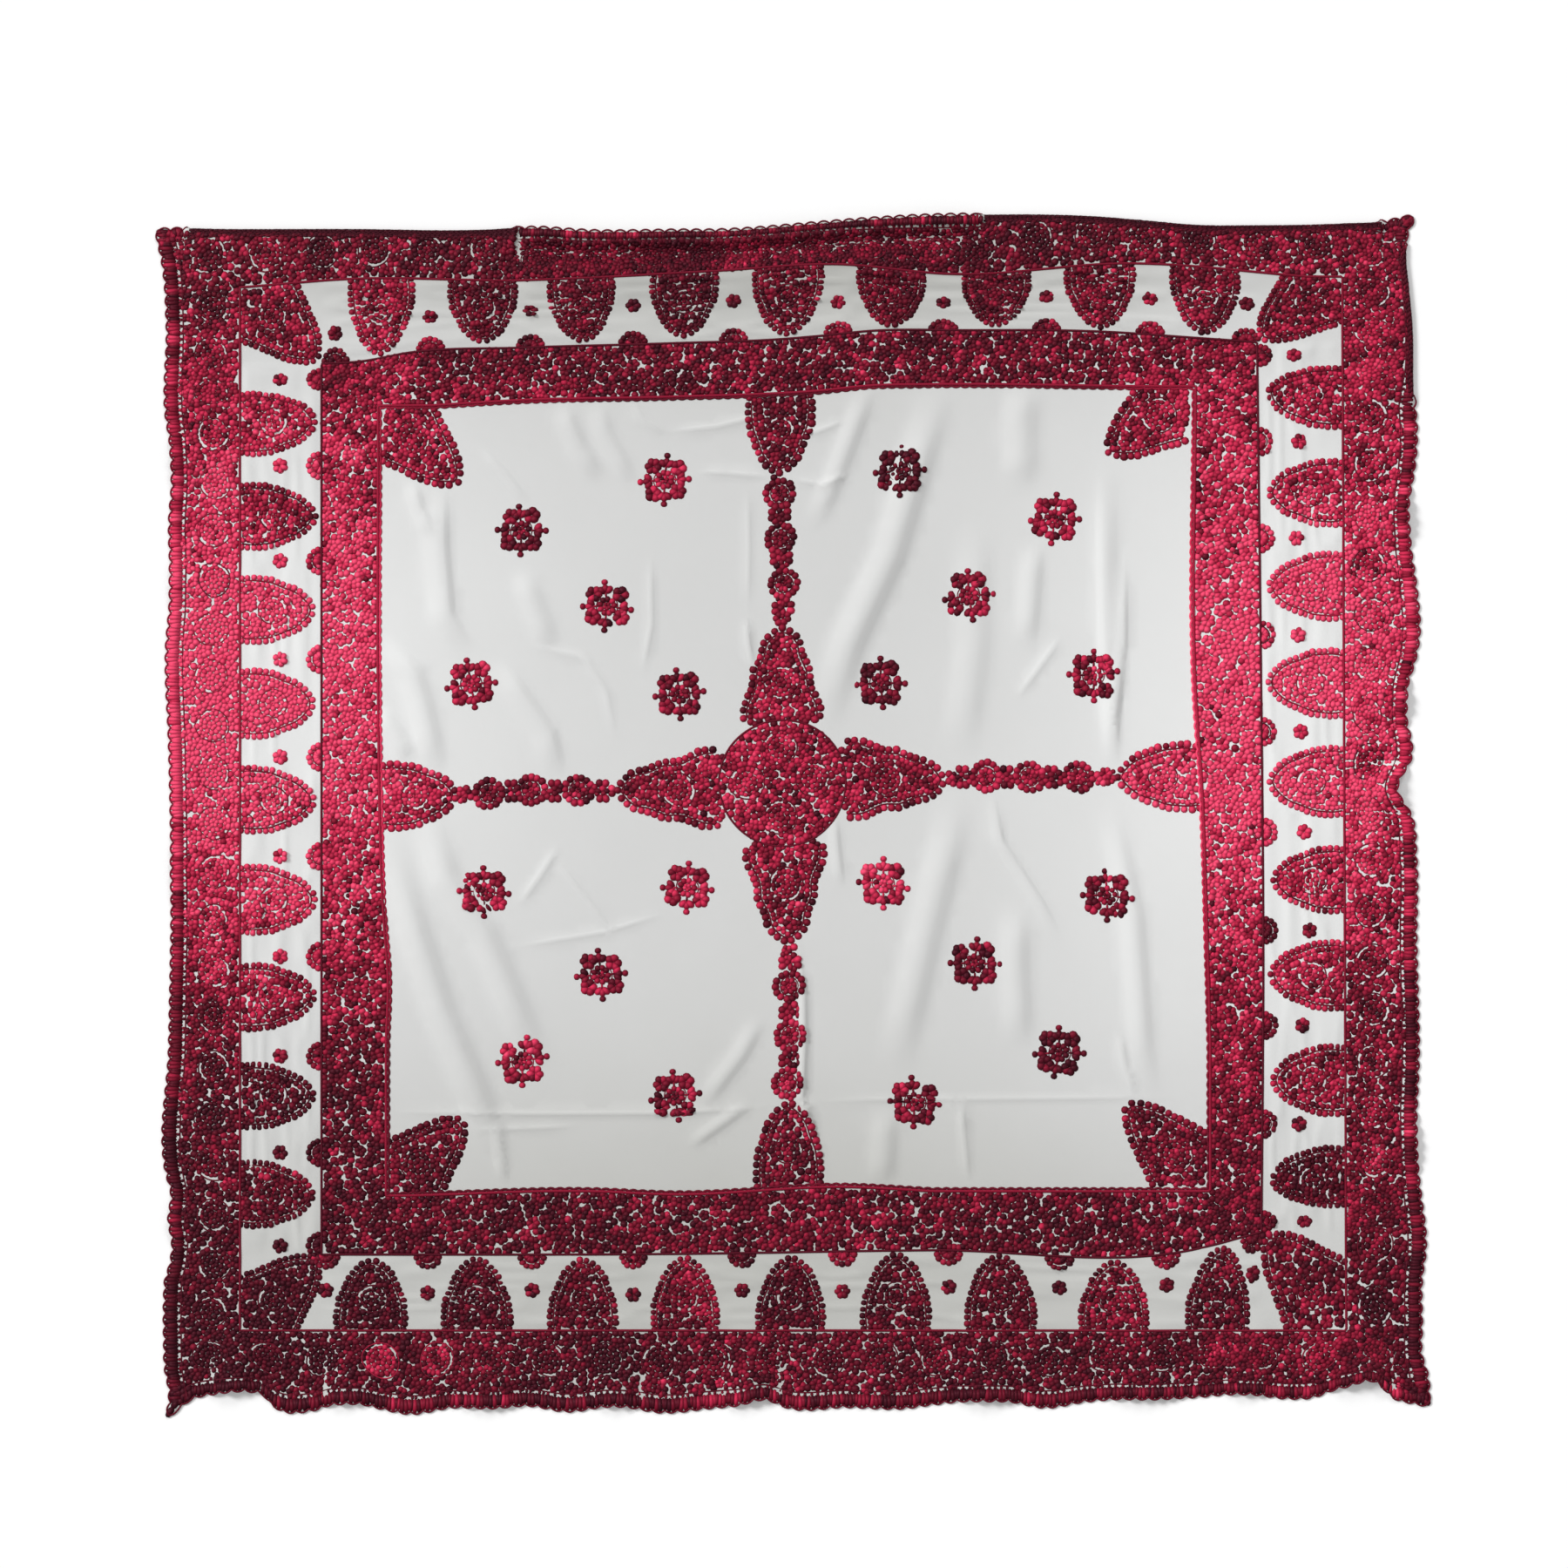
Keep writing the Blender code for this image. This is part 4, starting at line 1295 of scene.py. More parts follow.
for side, places in FLOWER_PLACES.items():
    for place in places:
        u, v = seen(*place)
        tone = MOTIF_TONE * luck.standard_normal()
        flower("margin_flowers", u, v, 12.8, 6, tone)
        foot = on_line(side, u if side in ("top", "bottom") else v, OUTER, -1.0)
        half_rosette("margin_flowers", *foot, math.radians(INWARD[side] + 180), tone)
print("margin:", len(petals["margin_leaves"]), "petals in the leaves,", len(petals["margin_flowers"]),
      "in the flowers")

# %% [markdown]
# ## The second border
#
# It has the same lively filling, without the row of rings. A few half rings stand on its outer line.

# %% The second border
for side in ("left", "right", "bottom", "top"):
    low, high = ("bottom", "top") if side in ("left", "right") else ("left", "right")
    for place in luck.uniform(OUTER[low] + 60, OUTER[high] - 60, 5):
        u, v = on_line(side, place, OUTER, 3.0)
        half_ring = arc(u, v, luck.uniform(9, 13), INWARD[side] + 80, 160)
        cord("stem_lines", half_ring, THIN_WIDTH - 0.3, DARK, 3.0)
fill("inner_border", (OUTER["left"], OUTER["bottom"]), (OUTER["right"], OUTER["top"]),
     frame_between(OUTER, INNER, 3.0, 5.5), spread=0.1)
print("second border:", len(petals["inner_border"]), "petals")

# %% [markdown]
# ## The field
#
# A disc with four rings in it stands in the middle, with a long lobed leaf on each side. A chain of
# three rosettes joins each leaf to a leaf that grows from the border. Leaves stand on the slant in
# the four corners, and twenty small stars are spread in the four quarters.

# %% Medallion, chains and leaves of the field
MEDALLION = 102.0
CHAIN_HALF = 10.0
MEDALLION_RINGS = ((-3, 57), (-6, -55), (48, 4), (-57, 4))
# The medallion's leaves start so far from its middle.
LEAF_FOOT = 88
# Columns: side, tip of the medallion's leaf and of the border's leaf, chain rosettes, chain bows.
ARMS = (
    ("top", (898, 717), (895, 547), ((900, 670), (896, 618), (895, 567)),
     ((899, 698), (897, 641), (895, 591))),
    ("bottom", (905, 1085), (905, 1262),
     ((906, 1132), (907, 1189), (904, 1243)), ((907, 1105), (907, 1162), (907, 1217))),
    ("left", (705, 908), (528, 912), ((664, 907), (610, 907), (561, 911)),
     ((692, 908), (637, 908), (587, 908))),
    ("right", (1088, 895), (1279, 892),
     ((1132, 891), (1182, 892), (1238, 892)), ((1105, 892), (1156, 892), (1207, 892))),
)
FIELD_TIPS = {
    ("left", "top"): (531, 558),
    ("right", "top"): (1267, 523),
    ("left", "bottom"): (536, 1281),
    ("right", "bottom"): (1289, 1263),
}


def bow(piece, u, v, heading, tone):
    """Two pairs of petals and a short stem: the bow between two rosettes of a chain."""
    for side in (-1, 1):
        petal(piece, u, v, heading + (0 if side > 0 else math.pi), 13.0, 9.0, tone - 0.1)
        for sway in (-0.36, 0.36):
            turn = heading + side * math.pi / 2 + sway
            petal(piece, *onward(u, v, turn, 6.0), turn, 14.0, 12.0, tone)


def outside_disc(places):
    """Which places lie outside the medallion's disc."""
    return np.hypot(*places.T) > MEDALLION + 1.5


cord("stem_lines", arc(0, 0, MEDALLION, wobble=0.015), STEM_WIDTH, DARK)
for u, v in MEDALLION_RINGS:
    ring("field_motifs", u, v, RING + 0.7)
disc = arc(0, 0, MEDALLION - 2.0, wobble=0.0)
fill_path("field_motifs", disc)
for side, tip, border_tip, rosettes, bows in ARMS:
    degrees = OUTWARD[side]
    tip = np.array(seen(*tip))
    reach = math.hypot(*tip)
    heading = math.atan2(tip[1], tip[0])
    leaf("field_motifs", *(LEAF_FOOT * tip / reach), heading, reach - LEAF_FOOT, MEDALLION_LEAF, FIELD_RIM,
         rim_from=0.1, ring_share=0.44, ring_radius=28.0, scrolls=False, clear=outside_disc)
    for place in rosettes:
        rosette("field_motifs", *seen(*place), RING, 0.06 * luck.standard_normal())
    for place in bows:
        bow("field_motifs", *seen(*place), math.radians(degrees), 0.0)
    u, v = seen(*border_tip)
    chain = math.hypot(u - tip[0], v - tip[1])
    band = [(0, -CHAIN_HALF), (chain, -CHAIN_HALF), (chain, CHAIN_HALF), (0, CHAIN_HALF)]
    fill_path("field_motifs", placed(band, *tip, math.atan2(v - tip[1], u - tip[0])))
    foot = on_line(side, u if side in ("top", "bottom") else v, INNER, 3.5)
    leaf("field_motifs", *foot, math.radians(degrees + 180), math.hypot(u - foot[0], v - foot[1]),
         MARGIN_LEAF, FIELD_RIM)
for (across, down), tip in FIELD_TIPS.items():
    foot, tip = np.array((INNER[across], INNER[down])), np.array(seen(*tip))
    run = tip - foot
    leaf("field_motifs", *foot, math.atan2(run[1], run[0]), math.hypot(*run), CORNER_LEAF, FIELD_RIM,
         rim_from=0.34, ring_share=0.4, ring_radius=29.0, scrolls=False,
         clear=lambda places: depth_in(INNER, places) > 4)
print("field:", len(petals["field_motifs"]), "petals so far")

# %% [markdown]
# A star has a packed disc between two arcs of thin cord at its heart, a flower at each of its four
# corners, and on each side a stalk with three petals and a bud beyond them.

# %% Stars
STAR_PLACES = (
    (763, 551), (599, 609), (697, 696), (541, 785), (780, 797),
    (1033, 541), (1211, 596), (1112, 684), (1255, 776), (1011, 784),
    (556, 1024), (789, 1019), (690, 1119), (600, 1218), (775, 1258),
    (1014, 1014), (1271, 1028), (1119, 1106), (1216, 1208), (1050, 1265),
)
STAR_CORNER = (20.6, 20.3)
STAR_FLOWER = 13.9
STAR_HEART = 16.4
# Where the arcs of cord start, in degrees, and how far they sweep.
STAR_ARCS = (-55, 125)
STAR_SWEEP = 110
FLOWER_LEAN = 0.09
FAN_LEAN = 0.07
# A stalk, a fan of three petals and a bud on each side. Columns: distance out, turn, length, width.
STAR_FAN = (
    (14.0, 0.0, 9.0, 3.6), (21.2, -0.86, 15.0, 10.8), (21.2, 0.86, 15.0, 10.8), (21.5, 0.0, 14.0, 10.4),
    (34.3, 0.0, 9.6, 10.4),
)


def star(piece, u, v, turn, tone):
    """One star of the field."""
    packed_disc(piece, u, v, STAR_HEART, tone)
    for start in STAR_ARCS:
        cord("stem_lines", arc(u, v, STAR_HEART + 1.0, math.degrees(turn) - start, STAR_SWEEP),
             THIN_WIDTH - 0.6, DARK + tone, 3.0)
    for k in range(4):
        lean = turn + FLOWER_LEAN * luck.standard_normal()
        (x, y), = placed([STAR_CORNER], u, v, lean + k * math.pi / 2)
        flower(piece, x, y, STAR_FLOWER, 5 + k % 2, tone + MOTIF_TONE * luck.standard_normal(), lean)
        heading = turn + k * math.pi / 2 + FAN_LEAN * luck.standard_normal()
        for start, sway, length, width in STAR_FAN:
            petal(piece, *onward(u, v, heading, start), heading + sway, length, width, tone)


for place in STAR_PLACES:
    star("field_motifs", *seen(*place), math.radians(luck.uniform(-5, 5)), 0.1 * luck.standard_normal())
print("field:", len(petals["field_motifs"]), "petals")

# %% [markdown]
# ## The hem
#
# The edge is cut in scallops and bound with a dark cord. Inside each scallop four long stitches
# lie side by side and fill it like one lobe of satin stitch. Then comes a line of white dashes,
# where the cloth shows, and a thin dark cord. This part keeps step with the scallops of the cloth,
# so it is planned on the flat cloth. Where the edge is turned, thread runs along the fold.

# %% The hem
LOBE_FOOT = -18.8
# Columns: turn in degrees from straight out, reach past the edge line, width, how far along the
# foot is moved, how much lighter.
LOBE = (
    (-7, 0.6, 8.6, 7.6, -0.13), (7, 0.6, 8.6, -7.6, -0.13), (-2.5, 4.4, 8.8, 2.6, 0.04),
    (2.5, 4.4, 8.8, -2.6, 0.04),
)
BRIDGE_FOOT = -22.8
BRIDGE_STITCH = (5.6, 5.0)
HEM_CORD = 3.0
FOLD_OFFSETS = (-7.4, -5.0, -2.6, -0.2, 2.2, 4.6, 7.0)
FOLD_STITCH = (11.0, 4.6)
FOLD_PITCH = 7.6

for side in SIDES:
    at, _, _ = hem_row(side, LOBE_FOOT, 1, -LOBE_FOOT)
    flip = 1 if side in ("top", "left") else -1
    for place in at + SCALLOP_PITCH / 2:
        mood = MOTIF_TONE * luck.standard_normal()
        for turn, past, width, along, lift in LOBE:
            x, y = hem_place(side, np.full(2, place + along), np.array([LOBE_FOOT, 0.0]))
            length = math.hypot(x[1] - x[0], y[1] - y[0])
            turned = turned_length(SIDES[side][1], place)
            heading = math.radians(OUTWARD[side] + flip * turn + luck.normal(0, 1.5))
            if turned < 0.5 or turned > 30:
                petal("hem_stitches", x[0], y[0], heading, length + past + luck.normal(0, 0.4), width,
                      mood + lift, drawn=0)
            elif length > turned + 5:
                petal("hem_stitches", x[0], y[0], heading, length - turned + 1.0, width, mood + lift, drawn=0)
    at, off, _ = hem_row(side, BRIDGE_FOOT, 2, -BRIDGE_FOOT)
    x, y = hem_place(side, at + luck.normal(0, 1.6, len(at)), off)
    for k in range(len(at)):
        petal("hem_stitches", x[k], y[k], math.radians(OUTWARD[side]), *BRIDGE_STITCH, -0.05, drawn=0)
for table, turns, upright in TURNED_SIDES:
    for start, _, _, end, _ in turns:
        for offset in FOLD_OFFSETS:
            at = np.arange(start + luck.uniform(2, 8), end - 8, FOLD_PITCH)
            at = at[turned_length(turns, at) > max(2.0, offset + 1.5)]
            out = curve_through(table, at) + offset
            for along, across in zip(at, out):
                place = (across, along) if upright else (along, across)
                heading = (math.pi / 2 if upright else 0.0) + luck.normal(0, 0.06)
                petal("fold_stitches", *place, heading, *FOLD_STITCH, -0.1, drawn=0)


def closed(path):
    """A path that ends where it starts."""
    return np.concatenate([path, path[:1]])


cord("hem_cords", closed(rim), HEM_CORD, -0.3, 3.2, drawn=0)
cord("hem_cords", closed(ring_of_sides(-HEM_WIDTH, 3, False)), THIN_WIDTH, DARK - 0.05, 5.0, drawn=0)
for across in ("left", "right"):
    for down in ("bottom", "top"):
        corner = np.array((EDGE[across], EDGE[down]), float)
        inward = np.array((1 if across == "left" else -1, 1 if down == "bottom" else -1))
        flower("outer_border", *(corner + 13.5 * inward), 14.0, 6, -0.1)
        low = np.minimum(corner, corner + 31 * inward)
        fill("outer_border", low, low + 31,
             lambda places, low=low: ((places > low + 1) & (places < low + 30)).all(axis=1), -0.1)
print("hem:", len(petals["hem_stitches"]), "stitches, and along the folds", len(petals["fold_stitches"]))
print("all petals:", sum(len(rows) for rows in petals.values()))
every_cord = [row for rows in cords.values() for row in rows]
print("all cord:", metres_of(every_cord), "m,", sum(len(path) for path, *_ in every_cord), "points")

# %% [markdown]
# ## Threads and cloth
#
# Three finishes are needed. The cotton is matt, off white, with a plain weave that only shows close
# by. The silk floss of the petals has its strands side by side along the petal and a soft shine.
# The stem stitch is the same silk, twisted. All red threads read one number, their tone, which goes
# from near black through crimson to rose: the dye took unevenly, and painted light and shade are added
# to it, with a painted sheen by which flat floss looks lighter or darker as it is turned to the light.

# %% Materials
# Columns: level of painted light and shade, red, green, blue.
COTTON_TONES = ((0.0, 0.44, 0.44, 0.412), (0.5, 0.63, 0.632, 0.625), (1.0, 0.80, 0.805, 0.80))
CLOUD = 0.05
THREAD_PITCH = 0.0008
# Columns: tone, red, green, blue.
SILK_TONES = (
    (0.0, 0.045, 0.0014, 0.008), (0.27, 0.115, 0.0025, 0.014), (0.5, 0.30, 0.007, 0.033),
    (0.75, 0.68, 0.024, 0.086), (1.0, 1.0, 0.076, 0.18),
)
# The painted shade in the line between two strands: how dark it is, and how high on a strand's wave it ends.
LINE_SHADE = 0.72
LINE_END = 0.2


def new_material(name, roughness):
    """A material with its shader, its nodes and a shorthand for adding more."""
    material = bpy.data.materials.new(name)
    material.use_nodes = True
    shader = material.node_tree.nodes["Principled BSDF"]
    shader.inputs["Roughness"].default_value = roughness
    return material, material.node_tree, shader


def add_node(tree, kind, values=(), **settings):
    """Adds a node, sets its properties, and sets or links its inputs by number or name."""
    node = tree.nodes.new(kind)
    for key, value in settings.items():
        setattr(node, key, value)
    for key, value in values:
        if isinstance(value, bpy.types.NodeSocket):
            tree.links.new(value, node.inputs[key])
        else:
            node.inputs[key].default_value = value
    return node


def new_group(name, inputs, outputs, kind="ShaderNodeTree"):
    """A node group with named sockets, and its two end nodes."""
    group = bpy.data.node_groups.new(name, kind)
    for label, socket in inputs:
        group.interface.new_socket(label, in_out="INPUT", socket_type=socket)
    for label, socket in outputs:
        group.interface.new_socket(label, in_out="OUTPUT", socket_type=socket)
    return group, group.nodes.new("NodeGroupInput"), group.nodes.new("NodeGroupOutput")


def colour_ramp(tree, value, rows):
    """Turns a number to a colour through a table of stops."""
    ramp = add_node(tree, "ShaderNodeValToRGB", ((0, value),))
    stops = ramp.color_ramp.elements
    for _ in rows[2:]:
        stops.new(0.5)
    for stop, (at, *colour) in zip(stops, rows):
        stop.position = at
        stop.color = (*colour, 1.0)
    return ramp.outputs[0]


def maths(tree, operation, *values):
    """A node that works out a number from others."""
    return add_node(tree, "ShaderNodeMath", tuple(enumerate(values)), operation=operation).outputs[0]


def ranged(tree, *values):
    """A node that takes a value from one range of numbers to another."""
    return add_node(tree, "ShaderNodeMapRange", tuple(enumerate(values))).outputs[0]


def weave_group():
    """Plain weave: each thread goes over one and under the next."""
    sockets = (("Cloth", "NodeSocketVector"), ("Pitch", "NodeSocketFloat"))
    group, start, end = new_group("plain weave", sockets, (("Height", "NodeSocketFloat"),))
    turns = maths(group, "DIVIDE", 2 * math.pi, start.outputs["Pitch"])
    scaled = add_node(group, "ShaderNodeVectorMath", ((0, start.outputs["Cloth"]), (3, turns)),
                      operation="SCALE")
    parts = add_node(group, "ShaderNodeSeparateXYZ", ((0, scaled.outputs[0]),))
    waves = [maths(group, "SINE", parts.outputs[k]) for k in (0, 1)]
    group.links.new(maths(group, "MULTIPLY", *waves), end.inputs["Height"])
    return group


def cotton_material():
    """Off white cotton, with painted light that makes it whiter and painted shade that makes it greyer and a
    little yellow.
    """
    material, tree, shader = new_material("white_cotton", 0.92)
    place = add_node(tree, "ShaderNodeUVMap", uv_map="UVMap")
    # The cotton's colour reads its painted light and shade, with a cloudy change of tone.
    wear = add_node(tree, "ShaderNodeAttribute", attribute_name="wear")
    clouds = add_node(tree, "ShaderNodeTexNoise",
                      (("Vector", place.outputs[0]), ("Scale", 5.0), ("Detail", 3.0)))
    tone = maths(tree, "ADD", wear.outputs["Fac"], ranged(tree, clouds.outputs[0], 0.0, 1.0, -CLOUD, CLOUD))
    tree.links.new(colour_ramp(tree, tone, COTTON_TONES), shader.inputs["Base Color"])
    thread = (("Cloth", place.outputs[0]), ("Pitch", THREAD_PITCH))
    weave = add_node(tree, "ShaderNodeGroup", thread, node_tree=weave_group())
    bump = add_node(tree, "ShaderNodeBump",
                    (("Strength", 0.35), ("Distance", 0.0002), ("Height", weave.outputs[0])))
    tree.links.new(bump.outputs[0], shader.inputs["Normal"])
    shader.inputs["Sheen Weight"].default_value = 0.15
    return material


def strands_group():
    """Strands side by side: a height to bump with, and a painted shade for the lines between them and towards
    the sides of a petal.
    """
    group, start, end = new_group(
        "silk strands",
        (("Stitch", "NodeSocketVector"), ("Strands", "NodeSocketFloat"), ("Slant", "NodeSocketFloat"),
         ("Rim", "NodeSocketFloat")),
        (("Height", "NodeSocketFloat"), ("Shade", "NodeSocketFloat")))
    parts = add_node(group, "ShaderNodeSeparateXYZ", ((0, start.outputs["Stitch"]),))
    slanted = maths(group, "MULTIPLY_ADD", parts.outputs[0], start.outputs["Slant"], parts.outputs[1])
    turns = maths(group, "MULTIPLY", start.outputs["Strands"], 2 * math.pi)
    wave = maths(group, "COSINE", maths(group, "MULTIPLY", slanted, turns))
    lined = ranged(group, wave, -1.0, LINE_END, LINE_SHADE, 1.0)
    # Painted shade towards the sides of a petal, as where petals meet.
    off_middle = maths(group, "MULTIPLY", parts.outputs[1], parts.outputs[1])
    rim = maths(group, "MULTIPLY_ADD", off_middle, start.outputs["Rim"], 1.0)
    group.links.new(ranged(group, wave, -1.0, 1.0, 0.0, 1.0), end.inputs["Height"])
    group.links.new(maths(group, "MULTIPLY", lined, rim), end.inputs["Shade"])
    return group


def silk_material(name, strands, slant, rim, roughness, bump_height):
    """Red silk that takes its tone from the stitch, with the painted shade of its strands and of its sides.
    """
    material, tree, shader = new_material(name, roughness)
    tone = add_node(tree, "ShaderNodeAttribute", attribute_name="tone")
    dyed = colour_ramp(tree, tone.outputs["Fac"], SILK_TONES)
    place = add_node(tree, "ShaderNodeUVMap", uv_map="UVMap")
    strand_values = (("Stitch", place.outputs[0]), ("Strands", strands), ("Slant", slant), ("Rim", rim))
    lines = add_node(tree, "ShaderNodeGroup", strand_values, node_tree=silk_strands)
    shaded = add_node(tree, "ShaderNodeVectorMath", ((0, dyed), (3, lines.outputs["Shade"])),
                      operation="SCALE")
    tree.links.new(shaded.outputs[0], shader.inputs["Base Color"])
    bump = add_node(tree, "ShaderNodeBump",
                    (("Strength", 0.6), ("Distance", bump_height), ("Height", lines.outputs["Height"])))
    tree.links.new(bump.outputs[0], shader.inputs["Normal"])
    shader.inputs["Specular IOR Level"].default_value = 0.3
    shader.inputs["Specular Tint"].default_value = (1.0, 0.42, 0.5, 1.0)
    return material


silk_strands = strands_group()
cotton = cotton_material()
# The petals are painted darker towards their sides, as painted shade where they meet; the cords are not.
silk = silk_material("silk", 9.0, 0.12, -1.7, 0.5, 0.00025)
stem_thread = silk_material("stem_thread", 1.0, 420.0, 0.0, 0.6, 0.0003)
edging_thread = silk_material("edging_thread", 1.0, 380.0, 0.0, 0.6, 0.0003)
ground.data.materials.clear()
ground.data.materials.append(cotton)
print("finishes:", ", ".join(material.name for material in (cotton, silk, stem_thread, edging_thread)))

# %% [markdown]
# Where on the throw the silk is light or dark is no accident of single stitches. Whole flowers and
# whole stretches share a skein, so the dye's tone comes from a slow noise and a finer one. A few broad
# areas add painted light and shade: both side borders are painted rose red at mid height, as where the
# light catches them, the top and bottom ones are painted maroon, as where less light falls, and the
# lower left corner is made nearly black.

# %% The tone of each place
# Broad areas of painted light and shade on the silk, added to the tone of its dye.
# Columns: x, y, reach across, reach up, how much lighter.
TONE_AND_PAINTED_LIGHT_AREAS = (
    (-930, 150, 340, 430, 0.96), (830, 170, 290, 480, 0.8), (0, 0, 480, 480, 0.31), (640, 60, 130, 420, 0.14),
    (-950, -830, 330, 330, -0.16), (-950, 900, 260, 200, 0.05), (980, 900, 260, 160, 0.10),
    (-470, 480, 260, 260, 0.08), (-690, 150, 110, 400, 0.12),
)
# The fold of a turned edge gets painted shade, near black, as where the cloth curves away from the light.
# Columns: how far in it reaches, how much darker.
FOLD_SHADE = (13.0, 0.34)
# It comes in where so much cloth is turned under.
SHADED_TURN = 10
BASE_TONE = 0.27
# A painted sheen: petals that point one way are painted lighter than those that point across it.
SHEEN = 0.1
SHEEN_TURN = 0.9
# Columns: cell across, cell up, shift across, shift up, seed.
BROAD_DYE = (70, 70, 2, 11, 21)
FINE_DYE = (24, 24, 0, 0, 22)
BROAD_CHANGE = 0.2
FINE_CHANGE = 0.13


def dye_and_painted_light_at(x, y, heading=None):
    """The tone of thread at a place: its dye, painted light and shade by place and at turned folds, and a
    painted sheen by how it is turned to the light.
    """
    broad, fine = value_noise(x, y, BROAD_DYE) - 0.5, value_noise(x, y, FINE_DYE) - 0.5
    tone = BASE_TONE + BROAD_CHANGE * broad + FINE_CHANGE * fine
    tone = tone + area_sum(TONE_AND_PAINTED_LIGHT_AREAS, x, y)
    for length, past in turned_places(x, y):
        near = smooth_step(length / SHADED_TURN) * smooth_step(1 + past / FOLD_SHADE[0])
        tone = tone - FOLD_SHADE[1] * near
    return tone if heading is None else tone + SHEEN * np.cos(2 * (heading - SHEEN_TURN))


# %% [markdown]
# ## Working the petals
#
# Each petal is a small closed lens: nine points round a drop, one raised point above and one
# below, which comes out on the back of the cloth as real satin stitch does. A modelled petal could
# be copied thirty thousand times by a script, but Geometry Nodes does it in one go. A point is put
# on the cloth for every petal, with its direction, its size and its tone, the nodes set the petal
# on each point, and the result is made plain mesh.

# %% One petal, and the nodes that set it on points
PETAL_DROP = (
    (0.0, 0.0), (0.09, 0.33), (0.4, 0.52), (0.78, 0.47), (1.0, 0.19),
    (1.0, -0.19), (0.78, -0.47), (0.4, -0.52), (0.09, -0.33),
)
PETAL_MIDDLE = 0.56
PETAL_TOP = (PETAL_MIDDLE, 0.0, 1.0)
PETAL_FOOT = (PETAL_MIDDLE, 0.0, -1.45)
# Petals stand between these heights, and their rim lies so far above the middle of the cloth.
PETAL_HEIGHTS = (0.62, 0.82)
PETAL_SEAT = 0.76
FLOOR_CLEAR = 0.05


def petal_template():
    """A petal one unit long and wide, which stands up one unit, for the nodes to scale."""
    verts = [(x, y, 0.0) for x, y in PETAL_DROP] + [PETAL_TOP, PETAL_FOOT]
    count = len(PETAL_DROP)
    faces = [((k + 1) % count, k, count) for k in range(count)]
    faces += [(k, (k + 1) % count, count + 1) for k in range(count)]
    mesh = bpy.data.meshes.new("petal")
    mesh.from_pydata(verts, [], faces)
    uv = mesh.uv_layers.new(name="UVMap").data
    for loop in mesh.loops:
        uv[loop.index].uv = verts[loop.vertex_index][:2]
    mesh.shade_smooth()
    return bpy.data.objects.new("petal", mesh)


def attribute_of(tree, name, kind):
    """A node that reads a named attribute."""
    return add_node(tree, "GeometryNodeInputNamedAttribute", (("Name", name),),
                    data_type=kind).outputs["Attribute"]


def petal_nodes():
    """Sets a stitch on every point, turned and sized as the point says."""
    tree, start, end = new_group(
        "stitches on points",
        (("Points", "NodeSocketGeometry"), ("Stitch", "NodeSocketObject"), ("Thread", "NodeSocketMaterial")),
        (("Stitches", "NodeSocketGeometry"),), "GeometryNodeTree")
    stitch = add_node(tree, "GeometryNodeObjectInfo", (("Object", start.outputs["Stitch"]),))
    turn = add_node(tree, "FunctionNodeAxesToRotation", ((0, attribute_of(tree, "up", "FLOAT_VECTOR")),
                    (1, attribute_of(tree, "along", "FLOAT_VECTOR"))), primary_axis="Z", secondary_axis="X")
    stand = add_node(tree, "GeometryNodeInstanceOnPoints", (
        ("Points", start.outputs["Points"]), ("Instance", stitch.outputs["Geometry"]),
        ("Rotation", turn.outputs[0]),
        ("Scale", attribute_of(tree, "size", "FLOAT_VECTOR"))))
    real = add_node(tree, "GeometryNodeRealizeInstances", ((0, stand.outputs[0]),))
    dyed = add_node(tree, "GeometryNodeSetMaterial",
                    (("Geometry", real.outputs[0]), ("Material", start.outputs["Thread"])))
    tree.links.new(dyed.outputs[0], end.inputs[0])
    return tree


def run_nodes(name, mesh, tree, inputs, spare):
    """Runs a node tree on a mesh and keeps the plain result, without the spare attributes."""
    thing = bpy.data.objects.new(name, mesh)
    bpy.context.scene.collection.objects.link(thing)
    modifier = thing.modifiers.new("work", "NODES")
    modifier.node_group = tree
    for item in tree.interface.items_tree:
        if item.in_out == "INPUT" and item.name in inputs:
            modifier[item.identifier] = inputs[item.name]
    made_plain(thing)
    for key in spare:
        if key in thing.data.attributes:
            thing.data.attributes.remove(thing.data.attributes[key])
    return thing


def with_attributes(name, points, edges, vectors, numbers):
    """A mesh of points that carries attributes."""
    mesh = bpy.data.meshes.new(name)
    mesh.from_pydata(points.tolist(), edges, [])
    for key, values in vectors.items():
        mesh.attributes.new(key, "FLOAT_VECTOR", "POINT").data.foreach_set("vector", np.ravel(values))
    for key, values in numbers.items():
        mesh.attributes.new(key, "FLOAT", "POINT").data.foreach_set("value", np.ravel(values))
    return mesh


stitch = petal_template()
stitch_tree = petal_nodes()
print("a petal has", triangles(stitch), "triangles")

# %% [markdown]
# The plan becomes points here. A petal's middle is fitted to the cloth, and so is a short step
# along its heading and one across it, so that it turns and stretches with the cloth. Where the
# edge is turned under, a petal would stick out of the small bend, so there the thread is laid along
# the fold instead.

# %% From the plan to the cloth
STEP = 1.0
STEEPEST = 0.6
LEAST_STRETCH = 0.95
# Where stitches would stick out of a bend. Columns: least length turned, inwards, outwards.
STITCHED_BEND = (5.0, 4.5, 10.5)


def on_flat(u, v, drawn):
    """Places of the plan on the flat cloth. Those of the hem are there already."""
    x, y = fit(u, v)
    return np.where(drawn > 0, x, u), np.where(drawn > 0, y, v)


